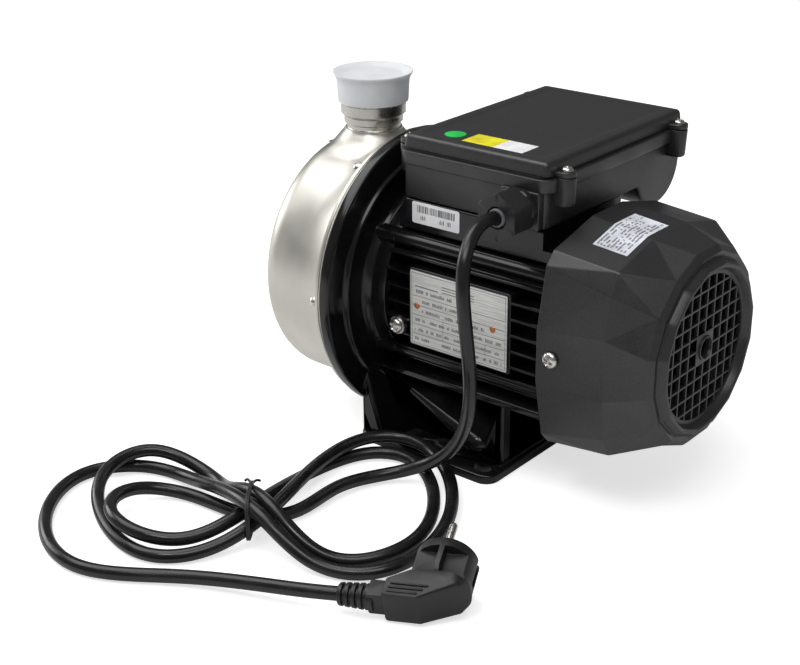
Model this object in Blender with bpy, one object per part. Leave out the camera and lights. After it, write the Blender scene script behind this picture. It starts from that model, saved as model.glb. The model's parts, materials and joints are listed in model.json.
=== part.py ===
# Close-coupled chemical pump: stainless pump end, finned motor, terminal box and a mains lead.
# Metres, +Z up. The origin lies on the foot's underside, below the shaft axis.
# +X runs along the shaft from the suction port to the fan, and -Y is the side with the nameplate.

from math import atan2, cos, hypot, pi, radians, sin, sqrt

import bmesh
import bpy
import numpy as np
from mathutils import Matrix, Vector

# Shared clearances
GAP = 0.0003                  # between pieces that touch on the real pump
RUNNING_GAP = 0.0008          # between a turning piece and a still one

# Shaft and frame
SHAFT_HEIGHT = 0.109
FLANGE_FACE_X = -0.046        # front face of the bracket disc, where the pump end bolts on

# Pump casing, pressed from sheet
CASING_RADIUS = 0.0875
CASING_DEPTH = 0.0634
CASING_WALL = 0.002
CASING_CORNER = 0.015
CASING_RIM_RADIUS = 0.098
CASING_RIM_THICKNESS = 0.003
CASING_BOLT_COUNT = 6
CASING_BOLT_CIRCLE = 0.0932
CASING_BOLT_RADIUS = 0.0022
CASING_BOLT_HEAD_RADIUS = 0.0042
CASING_BOLT_HEAD_HEIGHT = 0.005
COVER_RADIUS = 0.0978
COVER_THICKNESS = 0.002
O_RING_SECTION = 0.0035

# Ports, both with an inch and a quarter pipe thread
SUCTION_BORE = 0.0195
SUCTION_SOCKET_RADIUS = 0.0245
SUCTION_SOCKET_LENGTH = 0.018
NECK_X = -0.081
NECK_RADIUS = 0.0200
NECK_BORE = 0.0175
SOCKET_RADIUS = 0.0225
SOCKET_BORE = 0.0192
SOCKET_BOTTOM = 0.1057        # above the shaft axis, as the next three
SOCKET_TOP = 0.1300
WELD_RADIUS = 0.0230
WELD_TOP = 0.0925
CAP_FLANGE_RADIUS = 0.0277
CAP_HEIGHT = 0.0209
CAP_WALL = 0.0018
CAP_TOP = 0.1348

# Plugs in the casing's front
PLUG_CIRCLE = 0.070
PLUG_BOSS_RADIUS = 0.0105
PLUG_BOSS_HEIGHT = 0.0025
PLUG_HEX = 0.017
PLUG_HEAD_HEIGHT = 0.0065
PLUG_THREAD_RADIUS = 0.0062
PLUG_THREAD_LENGTH = 0.008

# Impeller, seal and shaft
IMPELLER_RADIUS = 0.062
IMPELLER_SHROUD = 0.0025
IMPELLER_VANES = 6
VANE_HEIGHT = 0.009
VANE_THICKNESS = 0.0022
IMPELLER_HUB_RADIUS = 0.0105
IMPELLER_HUB_LENGTH = 0.014
IMPELLER_NUT_HEX = 0.013
IMPELLER_NUT_LENGTH = 0.008
SEAL_CUP_RADIUS = 0.0132
SEAL_CUP_DEPTH = 0.0120
SEAL_SEAT_LENGTH = 0.0075
SEAL_HEAD_RADIUS = 0.0108
SEAL_HEAD_LENGTH = 0.005
SEAL_SPRING_LENGTH = 0.007
SEAL_SPRING_WIRE = 0.0006
SEAL_SPRING_TURNS = 3
SHAFT_PUMP_RADIUS = 0.006
SHAFT_CORE_RADIUS = 0.009
SHAFT_FAN_RADIUS = 0.006
SLINGER_RADIUS = 0.012
SLINGER_THICKNESS = 0.0022

# Ball bearings
BEARING_BORE_RADIUS = 0.0075
BEARING_OUTER_RADIUS = 0.0175
BEARING_WIDTH = 0.011
BEARING_BALLS = 7
BALL_RADIUS = 0.0029
CAGE_SHARE = 0.35
RACE_THICKNESS = 0.0022

# Bracket: flange disc, buttress, pedestal and foot in one casting
FLANGE_RADIUS = 0.100
FLANGE_THICKNESS = 0.008
FLANGE_RING_RADIUS = 0.084
FLANGE_RING_WIDTH = 0.004
FLANGE_RING_HEIGHT = 0.003
BARREL_RADIUS = 0.062
BARREL_LENGTH = 0.016
BARREL_WALL = 0.008
LANTERN_BORE = 0.020
BEARING_BOSS_WALL = 0.006
FOOT_THICKNESS = 0.0062
FOOT_HALF_WIDTH = 0.067
FOOT_REAR_X = 0.071
FOOT_CORNER = 0.010
SLOT_X = (0.005, 0.0575)
SLOT_Y = 0.057
SLOT_LENGTH = 0.014
SLOT_WIDTH = 0.009
PEDESTAL_HALF_WIDTH = 0.039
PEDESTAL_REAR_X = 0.066
PEDESTAL_WALL = 0.006
PEDESTAL_WEB = 0.010
PEDESTAL_ROOF = 0.018
POCKET_DRAFT = 0.94
CHEEK_DEPTH = 0.007
CHEEK_TOP_FRONT = 0.045       # height where the cheek's slanting edge starts at the buttress
BUTTRESS_HALF_WIDTH = 0.062
BUTTRESS_HEIGHT = 0.050
BUTTRESS_LENGTH = 0.013

# Finned motor housing
HOUSING_LENGTH = 0.130
HOUSING_SHELL_RADIUS = 0.0535
HOUSING_WALL = 0.0032
FIN_COUNT = 9
FIN_PITCH = 0.011
FIN_THICKNESS = 0.0030
FIN_TIP_RADIUS = 0.065
FIN_HALF_WIDTH = 0.0595
PLATFORM_HALF_WIDTH = 0.045
PLATFORM_TOP = 0.068
SADDLE_HALF_WIDTH = 0.050
SADDLE_BOTTOM = -0.0577
SADDLE_LEDGE = 0.004
PAD_X = (-0.002, 0.080)
PAD_HALF_HEIGHT = 0.0275
TIE_BOLT_CIRCLE = 0.0600
TIE_BOLT_ANGLE = radians(41)
TIE_BOLT_RADIUS = 0.0025
TIE_BOSS_RADIUS = 0.0052

# Motor's inside
STATOR_LENGTH = 0.060
STATOR_FRONT_X = 0.017
ROTOR_RADIUS = 0.0290
ROTOR_LENGTH = 0.062
AIR_GAP = 0.0006
WINDING_LENGTH = 0.013
WINDING_WALL = 0.011
STATOR_SLOTS = 8
SLOT_RADIUS = 0.0035

# Rear shield, fan and fan cover
SHIELD_THICKNESS = 0.006
SHIELD_RADIUS = 0.064
COVER_SCREW_X = 0.120
COVER_BOSS_RADIUS = 0.0055
FAN_X = 0.130
FAN_RADIUS = 0.052
FAN_BLADES = 8
FAN_BLADE_WIDTH = 0.018
FAN_BLADE_THICKNESS = 0.002
FAN_HUB_RADIUS = 0.011
FAN_HUB_LENGTH = 0.018
FAN_WEB = 0.002
FAN_COVER_WALL = 0.0025
FAN_COVER_RIM_X = 0.110
FAN_COVER_SHOULDER_X = 0.155
FAN_COVER_END_X = 0.181
FAN_COVER_RIM = ((0.075, 0.017), (0.067, 0.055), (0.060, 0.061), (0.017, 0.075))
FAN_COVER_SHOULDER = ((0.070, 0.020), (0.0647, 0.0505), (0.059, 0.0603), (0.020, 0.070))
FAN_COVER_END_RADIUS = 0.065
FAN_COVER_CROWN = 0.0035
VALLEY_RADIUS = 0.0575
LIP_OUTER_RADIUS = 0.055
LIP_INNER_RADIUS = 0.050
LIP_HEIGHT = 0.004
GRILLE_RADIUS = 0.0475
GRILLE_PITCH = 0.008
GRILLE_RIB = 0.002
GRILLE_HUB_RADIUS = 0.0095
GRILLE_HUB_HOLE = 0.0062
GRILLE_THICKNESS = 0.0025

# Terminal box with its lid, long across the shaft
LID_X = (-0.018, 0.0955)
LID_Y = (-0.046, 0.117)
LID_HEIGHT = 0.0084
LID_WALL = 0.0024
LID_DRAFT = 0.0012
LID_CORNER = 0.007
COLLAR_MARGIN = 0.0028
COLLAR_HEIGHT = 0.009
BOX_WALL = 0.0026
BOX_INSET = 0.0035            # lower body, in from the collar
BOX_BODY_HEIGHT = 0.0240      # from the platform to the underside of the collar
GASKET_THICKNESS = 0.0010
LUG_RADIUS = 0.0062
LUG_REACH = 0.0045            # lug centre beyond the lid's end
LUG_FROM_CORNER = 0.0140
LUG_DEPTH = 0.019
LUG_EAR = 0.0022
CAPACITOR_RADIUS = 0.0225
CAPACITOR_LENGTH = 0.086
BULGE_RADIUS = 0.028
BULGE_Y = 0.0885
BULGE_DROP = 0.0135           # bulge's axis below the underside of the collar
WIRE_HOLE = 0.030
WIRE_HOLE_X = 0.040

# Cable gland
GLAND_X = 0.078
GLAND_HEIGHT = 0.0815
GLAND_THREAD_RADIUS = 0.0095
GLAND_HEX = 0.022
GLAND_HEX_LENGTH = 0.005
GLAND_NUT_HEX = 0.027
GLAND_NUT_LENGTH = 0.018
GLAND_DOME_LENGTH = 0.006
GLAND_PAD_HEIGHT = 0.0015

# Nameplate, rivets and earth screw
NAMEPLATE_X = (0.000, 0.078)
NAMEPLATE_HALF_HEIGHT = 0.026
NAMEPLATE_THICKNESS = 0.0006
RIVET_PLACES = ((0.0055, 0.0045), (0.0735, -0.0020))
RIVET_RADIUS = 0.0022
RIVET_SHANK = 0.0013
EARTH_SCREW_X = -0.0115
EARTH_SCREW_Z = -0.0165
EARTH_SCREW_RADIUS = 0.0052

# Mains lead, from the gland to the plug, in millimetres: a loose figure of eight held by a tie
CORD_RADIUS = 0.0043
CORD_TURN = radians(32)       # the tube's points come closer together in its bends
CORD_STEP = 0.034
CORD_ROUTE = (
    (78, -70.4, 190.5), (78, -90, 190.5), (83, -112, 175), (89, -118, 135), (88, -112, 89), (56, -92, 32),
    (20, -98, 8), (1, -135, 7), (-1, -176, 6), (-22, -198, 6.5),
    (-70, -202, 5), (-95, -222, 10), (-92, -247, 14), (-64, -264, 15), (-26, -248, 11), (-12, -202, 18),
    (-28, -137, 6), (-16, -88, 5.5), (17, -77, 5), (68, -124, 5), (78, -175, 6), (48, -204, 7), (-2, -203, 27.5),
    (-44, -190, 14), (-78, -177, 6.5), (-119, -187, 15), (-128, -219, 13), (-100, -252, 7), (-40, -268, 5),
    (-10, -241, 7), (-1, -199, 17),
    (-21, -135, 14), (-18, -84, 15), (16, -67, 13), (80, -121, 8), (87, -192, 6), (50, -215, 8), (5, -217, 28),
    (-79, -190, 8), (-121, -194, 5), (-146, -227, 5), (-119, -280, 5), (-60, -302, 5), (0, -271, 6),
    (65, -245.2, 10.9), (88, -235, 12.2))
CORD_TIE_PLACE = (-0.0115, -0.2043, 0)
CORD_TIE_WIRE = 0.0008
CORD_TIE_OUTLINE = (          # round the bundle, in millimetres across and up from that place
    (8.6, 0.9), (11.6, 0.9), (15.2, 1.5), (17.6, 3.4), (18.2, 6.5), (17.6, 23.8), (15.3, 27.2), (11.0, 30.1),
    (5.0, 32.2), (-11, 33.9), (-15, 33.7), (-19.4, 32.2), (-22.2, 29.6), (-23.4, 26.5), (-22.8, 10.6), (-20.8, 7.8))
CORD_TIE_ANGLE = radians(40)

# Angled plug with two pins, as it lies on the floor: its turn, its slope and its roll
PLUG_YAW = radians(24)
PLUG_SLOPE = radians(3)
PLUG_ROLL = radians(14)
PLUG_BOOT_LENGTH = 0.020
PLUG_BOOT_RADIUS = 0.0072
PLUG_BOOT_SLOTS = 4
PLUG_COLLAR = ((0.0185, 0.032), (-0.0058, 0.0068), (-0.0080, 0.0080))
PLUG_FACE = 0.0345            # from the cable's axis to the face with the pins
PLUG_DISC_X = 0.0570
PLUG_RINGS = (                # depth, centre, half length, half height, squareness
    (-0.0070, 0.0395, 0.0105, 0.0104, 7), (-0.0055, 0.0398, 0.0120, 0.0116, 7), (0.0050, 0.0495, 0.0220, 0.0130, 5),
    (0.0110, 0.0568, 0.0186, 0.0182, 2.4), (0.0140, 0.0570, 0.0184, 0.0184, 2),
    (0.0330, 0.0570, 0.0184, 0.0184, 2), (0.0345, 0.0570, 0.0170, 0.0170, 2))
PLUG_INSERT = (0.0150, 0.0052, 0.006)    # half length along the pins' line, half width, depth
PIN_SPACING = 0.019
PIN_RADIUS = 0.0024
PIN_LENGTH = 0.019

SIDES = 32                    # round pieces as large as the casing
FEW_SIDES = 14                # bosses and small turned pieces
INNER_SIDES = 14              # turned pieces inside the pump and the motor

# Places that follow from the sizes above
COVER_FRONT_X = FLANGE_FACE_X - GAP - COVER_THICKNESS
RIM_REAR_X = COVER_FRONT_X - GAP
RIM_FRONT_X = RIM_REAR_X - CASING_RIM_THICKNESS
CASING_FRONT_X = RIM_REAR_X - CASING_DEPTH
FLANGE_REAR_X = FLANGE_FACE_X + FLANGE_THICKNESS
BARREL_REAR_X = FLANGE_REAR_X + BARREL_LENGTH
HOUSING_FRONT_X = BARREL_REAR_X + GAP
HOUSING_REAR_X = HOUSING_FRONT_X + HOUSING_LENGTH
SHIELD_FRONT_X = HOUSING_REAR_X + GAP
SHIELD_REAR_X = SHIELD_FRONT_X + SHIELD_THICKNESS
HOUSING_BORE = HOUSING_SHELL_RADIUS - HOUSING_WALL
PEDESTAL_TOP = SHAFT_HEIGHT + SADDLE_BOTTOM - GAP
CUP_FLOOR_X = FLANGE_FACE_X - GAP + SEAL_CUP_DEPTH
SEAL_SEAT_FRONT_X = CUP_FLOOR_X - GAP - SEAL_SEAT_LENGTH
SEAL_HEAD_FRONT_X = SEAL_SEAT_FRONT_X - GAP - SEAL_HEAD_LENGTH
SPRING_FRONT_X = SEAL_HEAD_FRONT_X - GAP - SEAL_SPRING_LENGTH
IMPELLER_BACK_X = SPRING_FRONT_X - GAP
SHROUD_FRONT_X = IMPELLER_BACK_X - IMPELLER_SHROUD
VANE_FRONT_X = SHROUD_FRONT_X - VANE_HEIGHT
HUB_FRONT_X = IMPELLER_BACK_X - IMPELLER_HUB_LENGTH
FRONT_BEARING_X = BARREL_REAR_X - BEARING_WIDTH + 0.008
REAR_BEARING_X = SHIELD_FRONT_X - BEARING_WIDTH - GAP
GRILLE_FACE_X = FAN_COVER_END_X + FAN_COVER_CROWN - 0.0005
BOX_FLOOR = PLATFORM_TOP + GAP
COLLAR_BOTTOM = BOX_FLOOR + BOX_BODY_HEIGHT
COLLAR_TOP = COLLAR_BOTTOM + COLLAR_HEIGHT
LID_BOTTOM = COLLAR_TOP + GASKET_THICKNESS + 2 * GAP
LID_TOP = LID_BOTTOM + LID_HEIGHT
COLLAR_X = (LID_X[0] - COLLAR_MARGIN, LID_X[1] + COLLAR_MARGIN)
COLLAR_Y = (LID_Y[0] - COLLAR_MARGIN, LID_Y[1] + COLLAR_MARGIN)
BODY_X = (COLLAR_X[0] + BOX_INSET, COLLAR_X[1] - BOX_INSET)
BODY_Y = (COLLAR_Y[0] + BOX_INSET, COLLAR_Y[1] - BOX_INSET)
BULGE_Z = COLLAR_BOTTOM - BULGE_DROP
PLATE_FACE = FIN_HALF_WIDTH + GAP


def clear_scene():
    for thing in list(bpy.data.objects):
        bpy.data.objects.remove(thing, do_unlink=True)


def finish(name, colour, roughness, metallic=0.0):
    material = bpy.data.materials.get(name)
    if material is None:
        material = bpy.data.materials.new(name)
        material.use_nodes = True
        shader = material.node_tree.nodes["Principled BSDF"]
        shader.inputs["Base Color"].default_value = (*colour, 1.0)
        shader.inputs["Roughness"].default_value = roughness
        shader.inputs["Metallic"].default_value = metallic
        material.diffuse_color = (*colour, 1.0)
    return material


def anchor(name, place):
    empty = bpy.data.objects.new(name, None)
    empty.location = place
    bpy.context.collection.objects.link(empty)
    return empty


def place_mesh(name, work, material=None, parent=None, smooth=True):
    """Turn a bmesh into an object, with its faces pointing out."""
    bmesh.ops.remove_doubles(work, verts=work.verts, dist=1e-7)
    bmesh.ops.recalc_face_normals(work, faces=work.faces)
    mesh = bpy.data.meshes.new(name)
    work.to_mesh(mesh)
    work.free()
    if smooth:
        mesh.shade_smooth()
        mesh.set_sharp_from_angle(angle=radians(32))
    piece = bpy.data.objects.new(name, mesh)
    bpy.context.collection.objects.link(piece)
    if material is not None:
        mesh.materials.append(material)
    if parent is not None:
        piece.parent = parent
    return piece


# The three directions that a piece can be turned or extruded along, each with its two cross directions
AXES = {
    "X": (Vector((1, 0, 0)), Vector((0, 1, 0)), Vector((0, 0, 1))),
    "-Y": (Vector((0, -1, 0)), Vector((1, 0, 0)), Vector((0, 0, 1))),
    "Z": (Vector((0, 0, 1)), Vector((1, 0, 0)), Vector((0, 1, 0))),
}


def add_turned(work, outline, axis="X", centre=(0, 0, 0), sides=SIDES, phase=0.0):
    """Turn a closed outline of (distance along the axis, radius) points about the axis."""
    along, side, up = AXES[axis]
    middle = Vector(centre)
    rings = []
    for distance, radius in outline:
        if radius < 1e-9:
            rings.append([work.verts.new(middle + along * distance)] * sides)
            continue
        ring = []
        for k in range(sides):
            angle = phase + 2 * pi * k / sides
            ring.append(work.verts.new(
                middle + along * distance + (side * cos(angle) + up * sin(angle)) * radius))
        rings.append(ring)
    for ring, following in zip(rings, rings[1:] + rings[:1]):
        if ring[0] is ring[1] and following[0] is following[1]:
            continue
        for k in range(sides):
            corners = []
            for vertex in (ring[k], ring[(k + 1) % sides], following[(k + 1) % sides], following[k]):
                if vertex not in corners:
                    corners.append(vertex)
            work.faces.new(corners)


def add_prism(work, outline, low, high, axis="X", centre=(0, 0, 0)):
    """Extrude a flat outline, given in the axis's two cross directions, from low to high."""
    along, side, up = AXES[axis]
    middle = Vector(centre)
    ends = []
    for distance in (low, high):
        ends.append([work.verts.new(middle + along * distance + side * a + up * b) for a, b in outline])
    work.faces.new(ends[0])
    work.faces.new(ends[1])
    count = len(outline)
    for k in range(count):
        following = (k + 1) % count
        work.faces.new((ends[0][k], ends[0][following], ends[1][following], ends[1][k]))


def add_loft(work, rings, close_ends=True):
    """Join rings of equal count; with open ends the last ring joins the first."""
    made = [[work.verts.new(point) for point in ring] for ring in rings]
    pairs = list(zip(made, made[1:]))
    if close_ends:
        work.faces.new(made[0])
        work.faces.new(made[-1])
    else:
        pairs.append((made[-1], made[0]))
    for ring, following in pairs:
        count = len(ring)
        for k in range(count):
            other = (k + 1) % count
            work.faces.new((ring[k], ring[other], following[other], following[k]))


def place_copies(name, work, places, material, parent, turns=None):
    """Objects that share one mesh, numbered from 1, one at each place."""
    first = place_mesh(name + "_1", work, material, parent)
    for k, place in enumerate(places):
        piece = first
        if k > 0:
            piece = bpy.data.objects.new(name + "_" + str(k + 1), first.data)
            piece.parent = parent
            bpy.context.collection.objects.link(piece)
        piece.location = place
        if turns is not None:
            piece.rotation_euler = turns[k]


def turned(name, outline, material=None, parent=None, **options):
    work = bmesh.new()
    add_turned(work, outline, **options)
    return place_mesh(name, work, material, parent)


def prism(name, outline, low, high, material=None, parent=None, **options):
    work = bmesh.new()
    add_prism(work, outline, low, high, **options)
    return place_mesh(name, work, material, parent)


def add_block(work, x, y, z):
    add_prism(work, [(y[0], z[0]), (y[1], z[0]), (y[1], z[1]), (y[0], z[1])], x[0], x[1])


def block(name, x, y, z, material=None, parent=None):
    work = bmesh.new()
    add_block(work, x, y, z)
    return place_mesh(name, work, material, parent, smooth=False)


def arc(centre, radius, start, end, steps):
    """Points on an arc, both ends included; angles in degrees."""
    points = []
    for k in range(steps + 1):
        angle = radians(start + (end - start) * k / steps)
        points.append((centre[0] + radius * cos(angle), centre[1] + radius * sin(angle)))
    return points


def polygon(radius, sides, phase=0.0):
    return [(radius * cos(phase + 2 * pi * k / sides), radius * sin(phase + 2 * pi * k / sides))
            for k in range(sides)]


def hexagon(across_flats, phase=0.0):
    return polygon(across_flats / sqrt(3), 6, phase)


def rounded_rectangle(a, b, radius, steps=4):
    """Outline of a rectangle from a[0] to a[1] and b[0] to b[1], with round corners."""
    points = []
    for centre_a, centre_b, start in (
            (a[1] - radius, b[0] + radius, -90), (a[1] - radius, b[1] - radius, 0),
            (a[0] + radius, b[1] - radius, 90), (a[0] + radius, b[0] + radius, 180)):
        points += arc((centre_a, centre_b), radius, start, start + 90, steps)
    return points


def tool(piece):
    """A body that only cuts or joins another one."""
    piece.hide_render = True
    piece.display_type = "WIRE"
    return piece


def combine(piece, other, operation):
    modifier = piece.modifiers.new(other.name, "BOOLEAN")
    modifier.operation = operation
    modifier.solver = "EXACT"
    modifier.object = tool(other)
    return piece


def cut(piece, other):
    return combine(piece, other, "DIFFERENCE")


def fuse(piece, other):
    return combine(piece, other, "UNION")


def ring_places(count, radius, phase=0.0):
    return [(radius * cos(phase + 2 * pi * k / count), radius * sin(phase + 2 * pi * k / count))
            for k in range(count)]


def holes(name, places, radius, low, high, parent, axis="X", sides=8):
    """One cutter with a round pin at each place."""
    work = bmesh.new()
    for place in places:
        outline = [(place[0] + a, place[1] + b) for a, b in polygon(radius, sides, pi / sides)]
        add_prism(work, outline, low, high, axis=axis)
    return place_mesh(name, work, parent=parent)


# Pump end

def casing_outside(offset):
    """Outer skin of the drum, from the rim to the front face, grown by an offset."""
    radius = CASING_RADIUS + offset
    front = CASING_FRONT_X - offset
    corner = CASING_CORNER + offset
    points = arc((front + corner, radius - corner), corner, 90, 180, 3)
    return [(RIM_FRONT_X + 0.002, radius)] + points


def make_casing(still, steel):
    outer = casing_outside(0.0)
    inner = casing_outside(-CASING_WALL)
    hole = SUCTION_BORE + 0.003
    rim_fillet = arc((RIM_FRONT_X - 0.0013, CASING_RADIUS + 0.0013), 0.0013, 0, -90, 2)
    outline = [(RIM_REAR_X, CASING_RIM_RADIUS), (RIM_FRONT_X, CASING_RIM_RADIUS)]
    outline += rim_fillet + outer[1:]
    outline += [(CASING_FRONT_X, hole), (CASING_FRONT_X + CASING_WALL, hole)]
    outline += list(reversed(inner[1:]))
    outline += [(RIM_REAR_X, CASING_RADIUS - CASING_WALL)]
    casing = turned("casing", outline, steel, still)
    fuse(casing, plug_bosses(still))
    cut(casing, holes("casing_bolt_holes", ring_places(CASING_BOLT_COUNT, CASING_BOLT_CIRCLE),
                      0.0028, RIM_FRONT_X - 0.002, RIM_REAR_X + 0.002, still, sides=8))
    cut(casing, holes("casing_plug_holes", [(0, PLUG_CIRCLE), (0, -PLUG_CIRCLE)],
                      PLUG_THREAD_RADIUS + GAP, CASING_FRONT_X - 0.010, CASING_FRONT_X + 0.010,
                      still, sides=FEW_SIDES))
    cut(casing, turned("casing_outlet", [(0.0, 0.0), (0.0, NECK_BORE), (0.110, NECK_BORE), (0.110, 0.0)],
                       parent=still, axis="Z", centre=(NECK_X, 0, 0), sides=FEW_SIDES))
    return casing


def plug_bosses(still):
    work = bmesh.new()
    for side in (1, -1):
        add_turned(work, [(CASING_FRONT_X - PLUG_BOSS_HEIGHT, 0), (CASING_FRONT_X - PLUG_BOSS_HEIGHT, PLUG_BOSS_RADIUS),
                          (CASING_FRONT_X + 0.0015, PLUG_BOSS_RADIUS + 0.001), (CASING_FRONT_X + 0.0015, 0)],
                   centre=(0, 0, side * PLUG_CIRCLE), sides=FEW_SIDES)
    return place_mesh("casing_plug_bosses", work, parent=still)


def make_plugs(still, steel):
    face = CASING_FRONT_X - PLUG_BOSS_HEIGHT - GAP
    for name, height in (("priming_plug", PLUG_CIRCLE), ("drain_plug", -PLUG_CIRCLE)):
        work = bmesh.new()
        add_turned(work, [(face, PLUG_BOSS_RADIUS - 0.001), (face - 0.0015, PLUG_BOSS_RADIUS - 0.001),
                          (face - 0.0015, 0), (face + PLUG_THREAD_LENGTH, 0),
                          (face + PLUG_THREAD_LENGTH, PLUG_THREAD_RADIUS - 0.001),
                          (face + PLUG_THREAD_LENGTH - 0.001, PLUG_THREAD_RADIUS), (face, PLUG_THREAD_RADIUS)],
                   centre=(0, 0, height), sides=FEW_SIDES)
        plug = place_mesh(name, work, steel, still)
        head = prism(name + "_head", hexagon(PLUG_HEX), face - PLUG_HEAD_HEIGHT, face - 0.001,
                     parent=still, centre=(0, 0, height))
        fuse(plug, head)


def make_suction_socket(still, steel):
    """Threaded socket on the casing's front, with a spigot that stands in the casing's hole."""
    face = CASING_FRONT_X - GAP
    spigot = SUCTION_BORE + 0.003 - GAP
    outline = [(face, SUCTION_SOCKET_RADIUS), (face - SUCTION_SOCKET_LENGTH + 0.0015, SUCTION_SOCKET_RADIUS),
               (face - SUCTION_SOCKET_LENGTH, SUCTION_SOCKET_RADIUS - 0.0015),
               (face - SUCTION_SOCKET_LENGTH, SUCTION_BORE + 0.001),
               (face - SUCTION_SOCKET_LENGTH + 0.001, SUCTION_BORE),
               (CASING_FRONT_X + CASING_WALL + 0.001, SUCTION_BORE),
               (CASING_FRONT_X + CASING_WALL + 0.001, spigot), (face, spigot)]
    turned("suction_socket", outline, steel, still, sides=24)


def make_suction_guide(still, steel):
    """Inner tube from the suction socket that ends in the wear plate before the open vanes."""
    front = CASING_FRONT_X + CASING_WALL + 0.001 + GAP
    plate = VANE_FRONT_X - RUNNING_GAP
    sheet = 0.0015
    flare = arc((plate - sheet - 0.006, SUCTION_BORE + sheet + 0.006), 0.006, -90, 0, 2)
    outline = [(front, SUCTION_BORE), (front, SUCTION_BORE + sheet)]
    outline += flare
    outline += [(plate - sheet, IMPELLER_RADIUS + 0.002), (plate - sheet - 0.004, IMPELLER_RADIUS + 0.002),
                (plate - sheet - 0.004, IMPELLER_RADIUS + 0.002 + sheet),
                (plate, IMPELLER_RADIUS + 0.002 + sheet)]
    outline += list(reversed(arc((plate - 0.0075, SUCTION_BORE + 0.0075), 0.0075, -90, 0, 2)))
    turned("suction_guide", outline, steel, still, sides=20)


def make_discharge_socket(still, steel):
    """Welded neck and threaded socket; its foot is cut to sit on the drum."""
    outline = [(0.070, NECK_BORE), (0.070, WELD_RADIUS + 0.001), (CASING_RADIUS + 0.001, WELD_RADIUS),
               (WELD_TOP - 0.001, NECK_RADIUS + 0.0008), (WELD_TOP, NECK_RADIUS), (SOCKET_BOTTOM - 0.002, NECK_RADIUS),
               (SOCKET_BOTTOM, SOCKET_RADIUS), (SOCKET_TOP - 0.001, SOCKET_RADIUS),
               (SOCKET_TOP, SOCKET_RADIUS - 0.001), (SOCKET_TOP, SOCKET_BORE + 0.001),
               (SOCKET_TOP - 0.001, SOCKET_BORE), (SOCKET_BOTTOM, SOCKET_BORE), (SOCKET_BOTTOM - 0.001, NECK_BORE)]
    neck = turned("discharge_socket", outline, steel, still, axis="Z", centre=(NECK_X, 0, 0), sides=28)
    drum = casing_outside(GAP) + [(CASING_FRONT_X - GAP, 0), (RIM_FRONT_X + 0.002, 0)]
    return cut(neck, turned("neck_seat", drum, parent=still, sides=SIDES))


def make_cap(plastic):
    """Push-on dust cap: a skirt over the socket, a dished top and a flared rim."""
    axis = anchor("cap_axis", (NECK_X, 0, SHAFT_HEIGHT))
    inside = SOCKET_RADIUS + GAP
    body = inside + CAP_WALL
    bottom = CAP_TOP - CAP_HEIGHT
    web = SOCKET_TOP + GAP
    outline = [(bottom, inside), (bottom, body - 0.0004), (CAP_TOP - 0.006, body + 0.0006),
               (CAP_TOP - 0.0015, CAP_FLANGE_RADIUS), (CAP_TOP, CAP_FLANGE_RADIUS),
               (CAP_TOP, body - 0.0012), (web + CAP_WALL, inside - 0.0020), (web + CAP_WALL, 0.0),
               (web, 0.0), (web, inside)]
    return turned("discharge_cap", outline, plastic, axis, axis="Z", sides=28)


def make_casing_cover(still, steel):
    """Pressed back plate with the cup that holds the seal's still ring."""
    rear = COVER_FRONT_X + COVER_THICKNESS
    cup = SEAL_CUP_RADIUS
    wall = COVER_THICKNESS
    shaft_hole = SHAFT_PUMP_RADIUS + 0.002
    outline = [(COVER_FRONT_X, COVER_RADIUS), (COVER_FRONT_X, cup), (CUP_FLOOR_X, cup), (CUP_FLOOR_X, shaft_hole),
               (CUP_FLOOR_X + wall, shaft_hole), (CUP_FLOOR_X + wall, cup + wall - 0.001),
               (CUP_FLOOR_X + wall - 0.001, cup + wall), (rear, cup + wall), (rear, COVER_RADIUS)]
    cover = turned("casing_cover", outline, steel, still, sides=28)
    return cut(cover, holes("cover_bolt_holes", ring_places(CASING_BOLT_COUNT, CASING_BOLT_CIRCLE),
                            0.0028, COVER_FRONT_X - 0.002, rear + 0.002, still, sides=8))


def make_o_ring(still, rubber):
    radius = O_RING_SECTION / 2
    centre = (COVER_FRONT_X - GAP - radius, CASING_RADIUS - CASING_WALL - GAP - radius)
    turned("casing_o_ring", arc(centre, radius, 0, 360, 5)[:-1], rubber, still, sides=28)


def make_casing_bolts(still, nickel):
    """Cap bolts through the rim, the cover and the flange, with hexagon sockets in their heads."""
    face = RIM_FRONT_X - GAP
    end = FLANGE_FACE_X + 0.005
    top = face - CASING_BOLT_HEAD_HEIGHT
    shank = CASING_BOLT_RADIUS
    head = CASING_BOLT_HEAD_RADIUS
    work = bmesh.new()
    add_turned(work, [(face, shank), (face, head), (top + 0.0006, head), (top, head - 0.0006), (top, 0.0023),
                      (top + 0.0025, 0.0023), (top + 0.0025, 0), (end, 0), (end, shank)], sides=8)
    places = [(0, y, z) for y, z in ring_places(CASING_BOLT_COUNT, CASING_BOLT_CIRCLE)]
    place_copies("casing_bolt", work, places, nickel, still)


# Impeller, seal and shaft

def vane_outline(start_angle):
    """Backward-curved vane: the angle falls behind as the radius grows."""
    inner_radius = IMPELLER_HUB_RADIUS + 0.006
    outer_radius = IMPELLER_RADIUS - 0.0005
    steps = 5
    centre_line = []
    for k in range(steps + 1):
        share = k / steps
        radius = inner_radius + (outer_radius - inner_radius) * share
        angle = start_angle - 1.25 * share ** 0.8
        centre_line.append(Vector((radius * cos(angle), radius * sin(angle))))
    left, right = [], []
    for k, point in enumerate(centre_line):
        ahead = centre_line[min(k + 1, steps)] - centre_line[max(k - 1, 0)]
        normal = Vector((-ahead.y, ahead.x)).normalized() * VANE_THICKNESS / 2
        left.append(tuple(point + normal))
        right.append(tuple(point - normal))
    return left + list(reversed(right))


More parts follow.
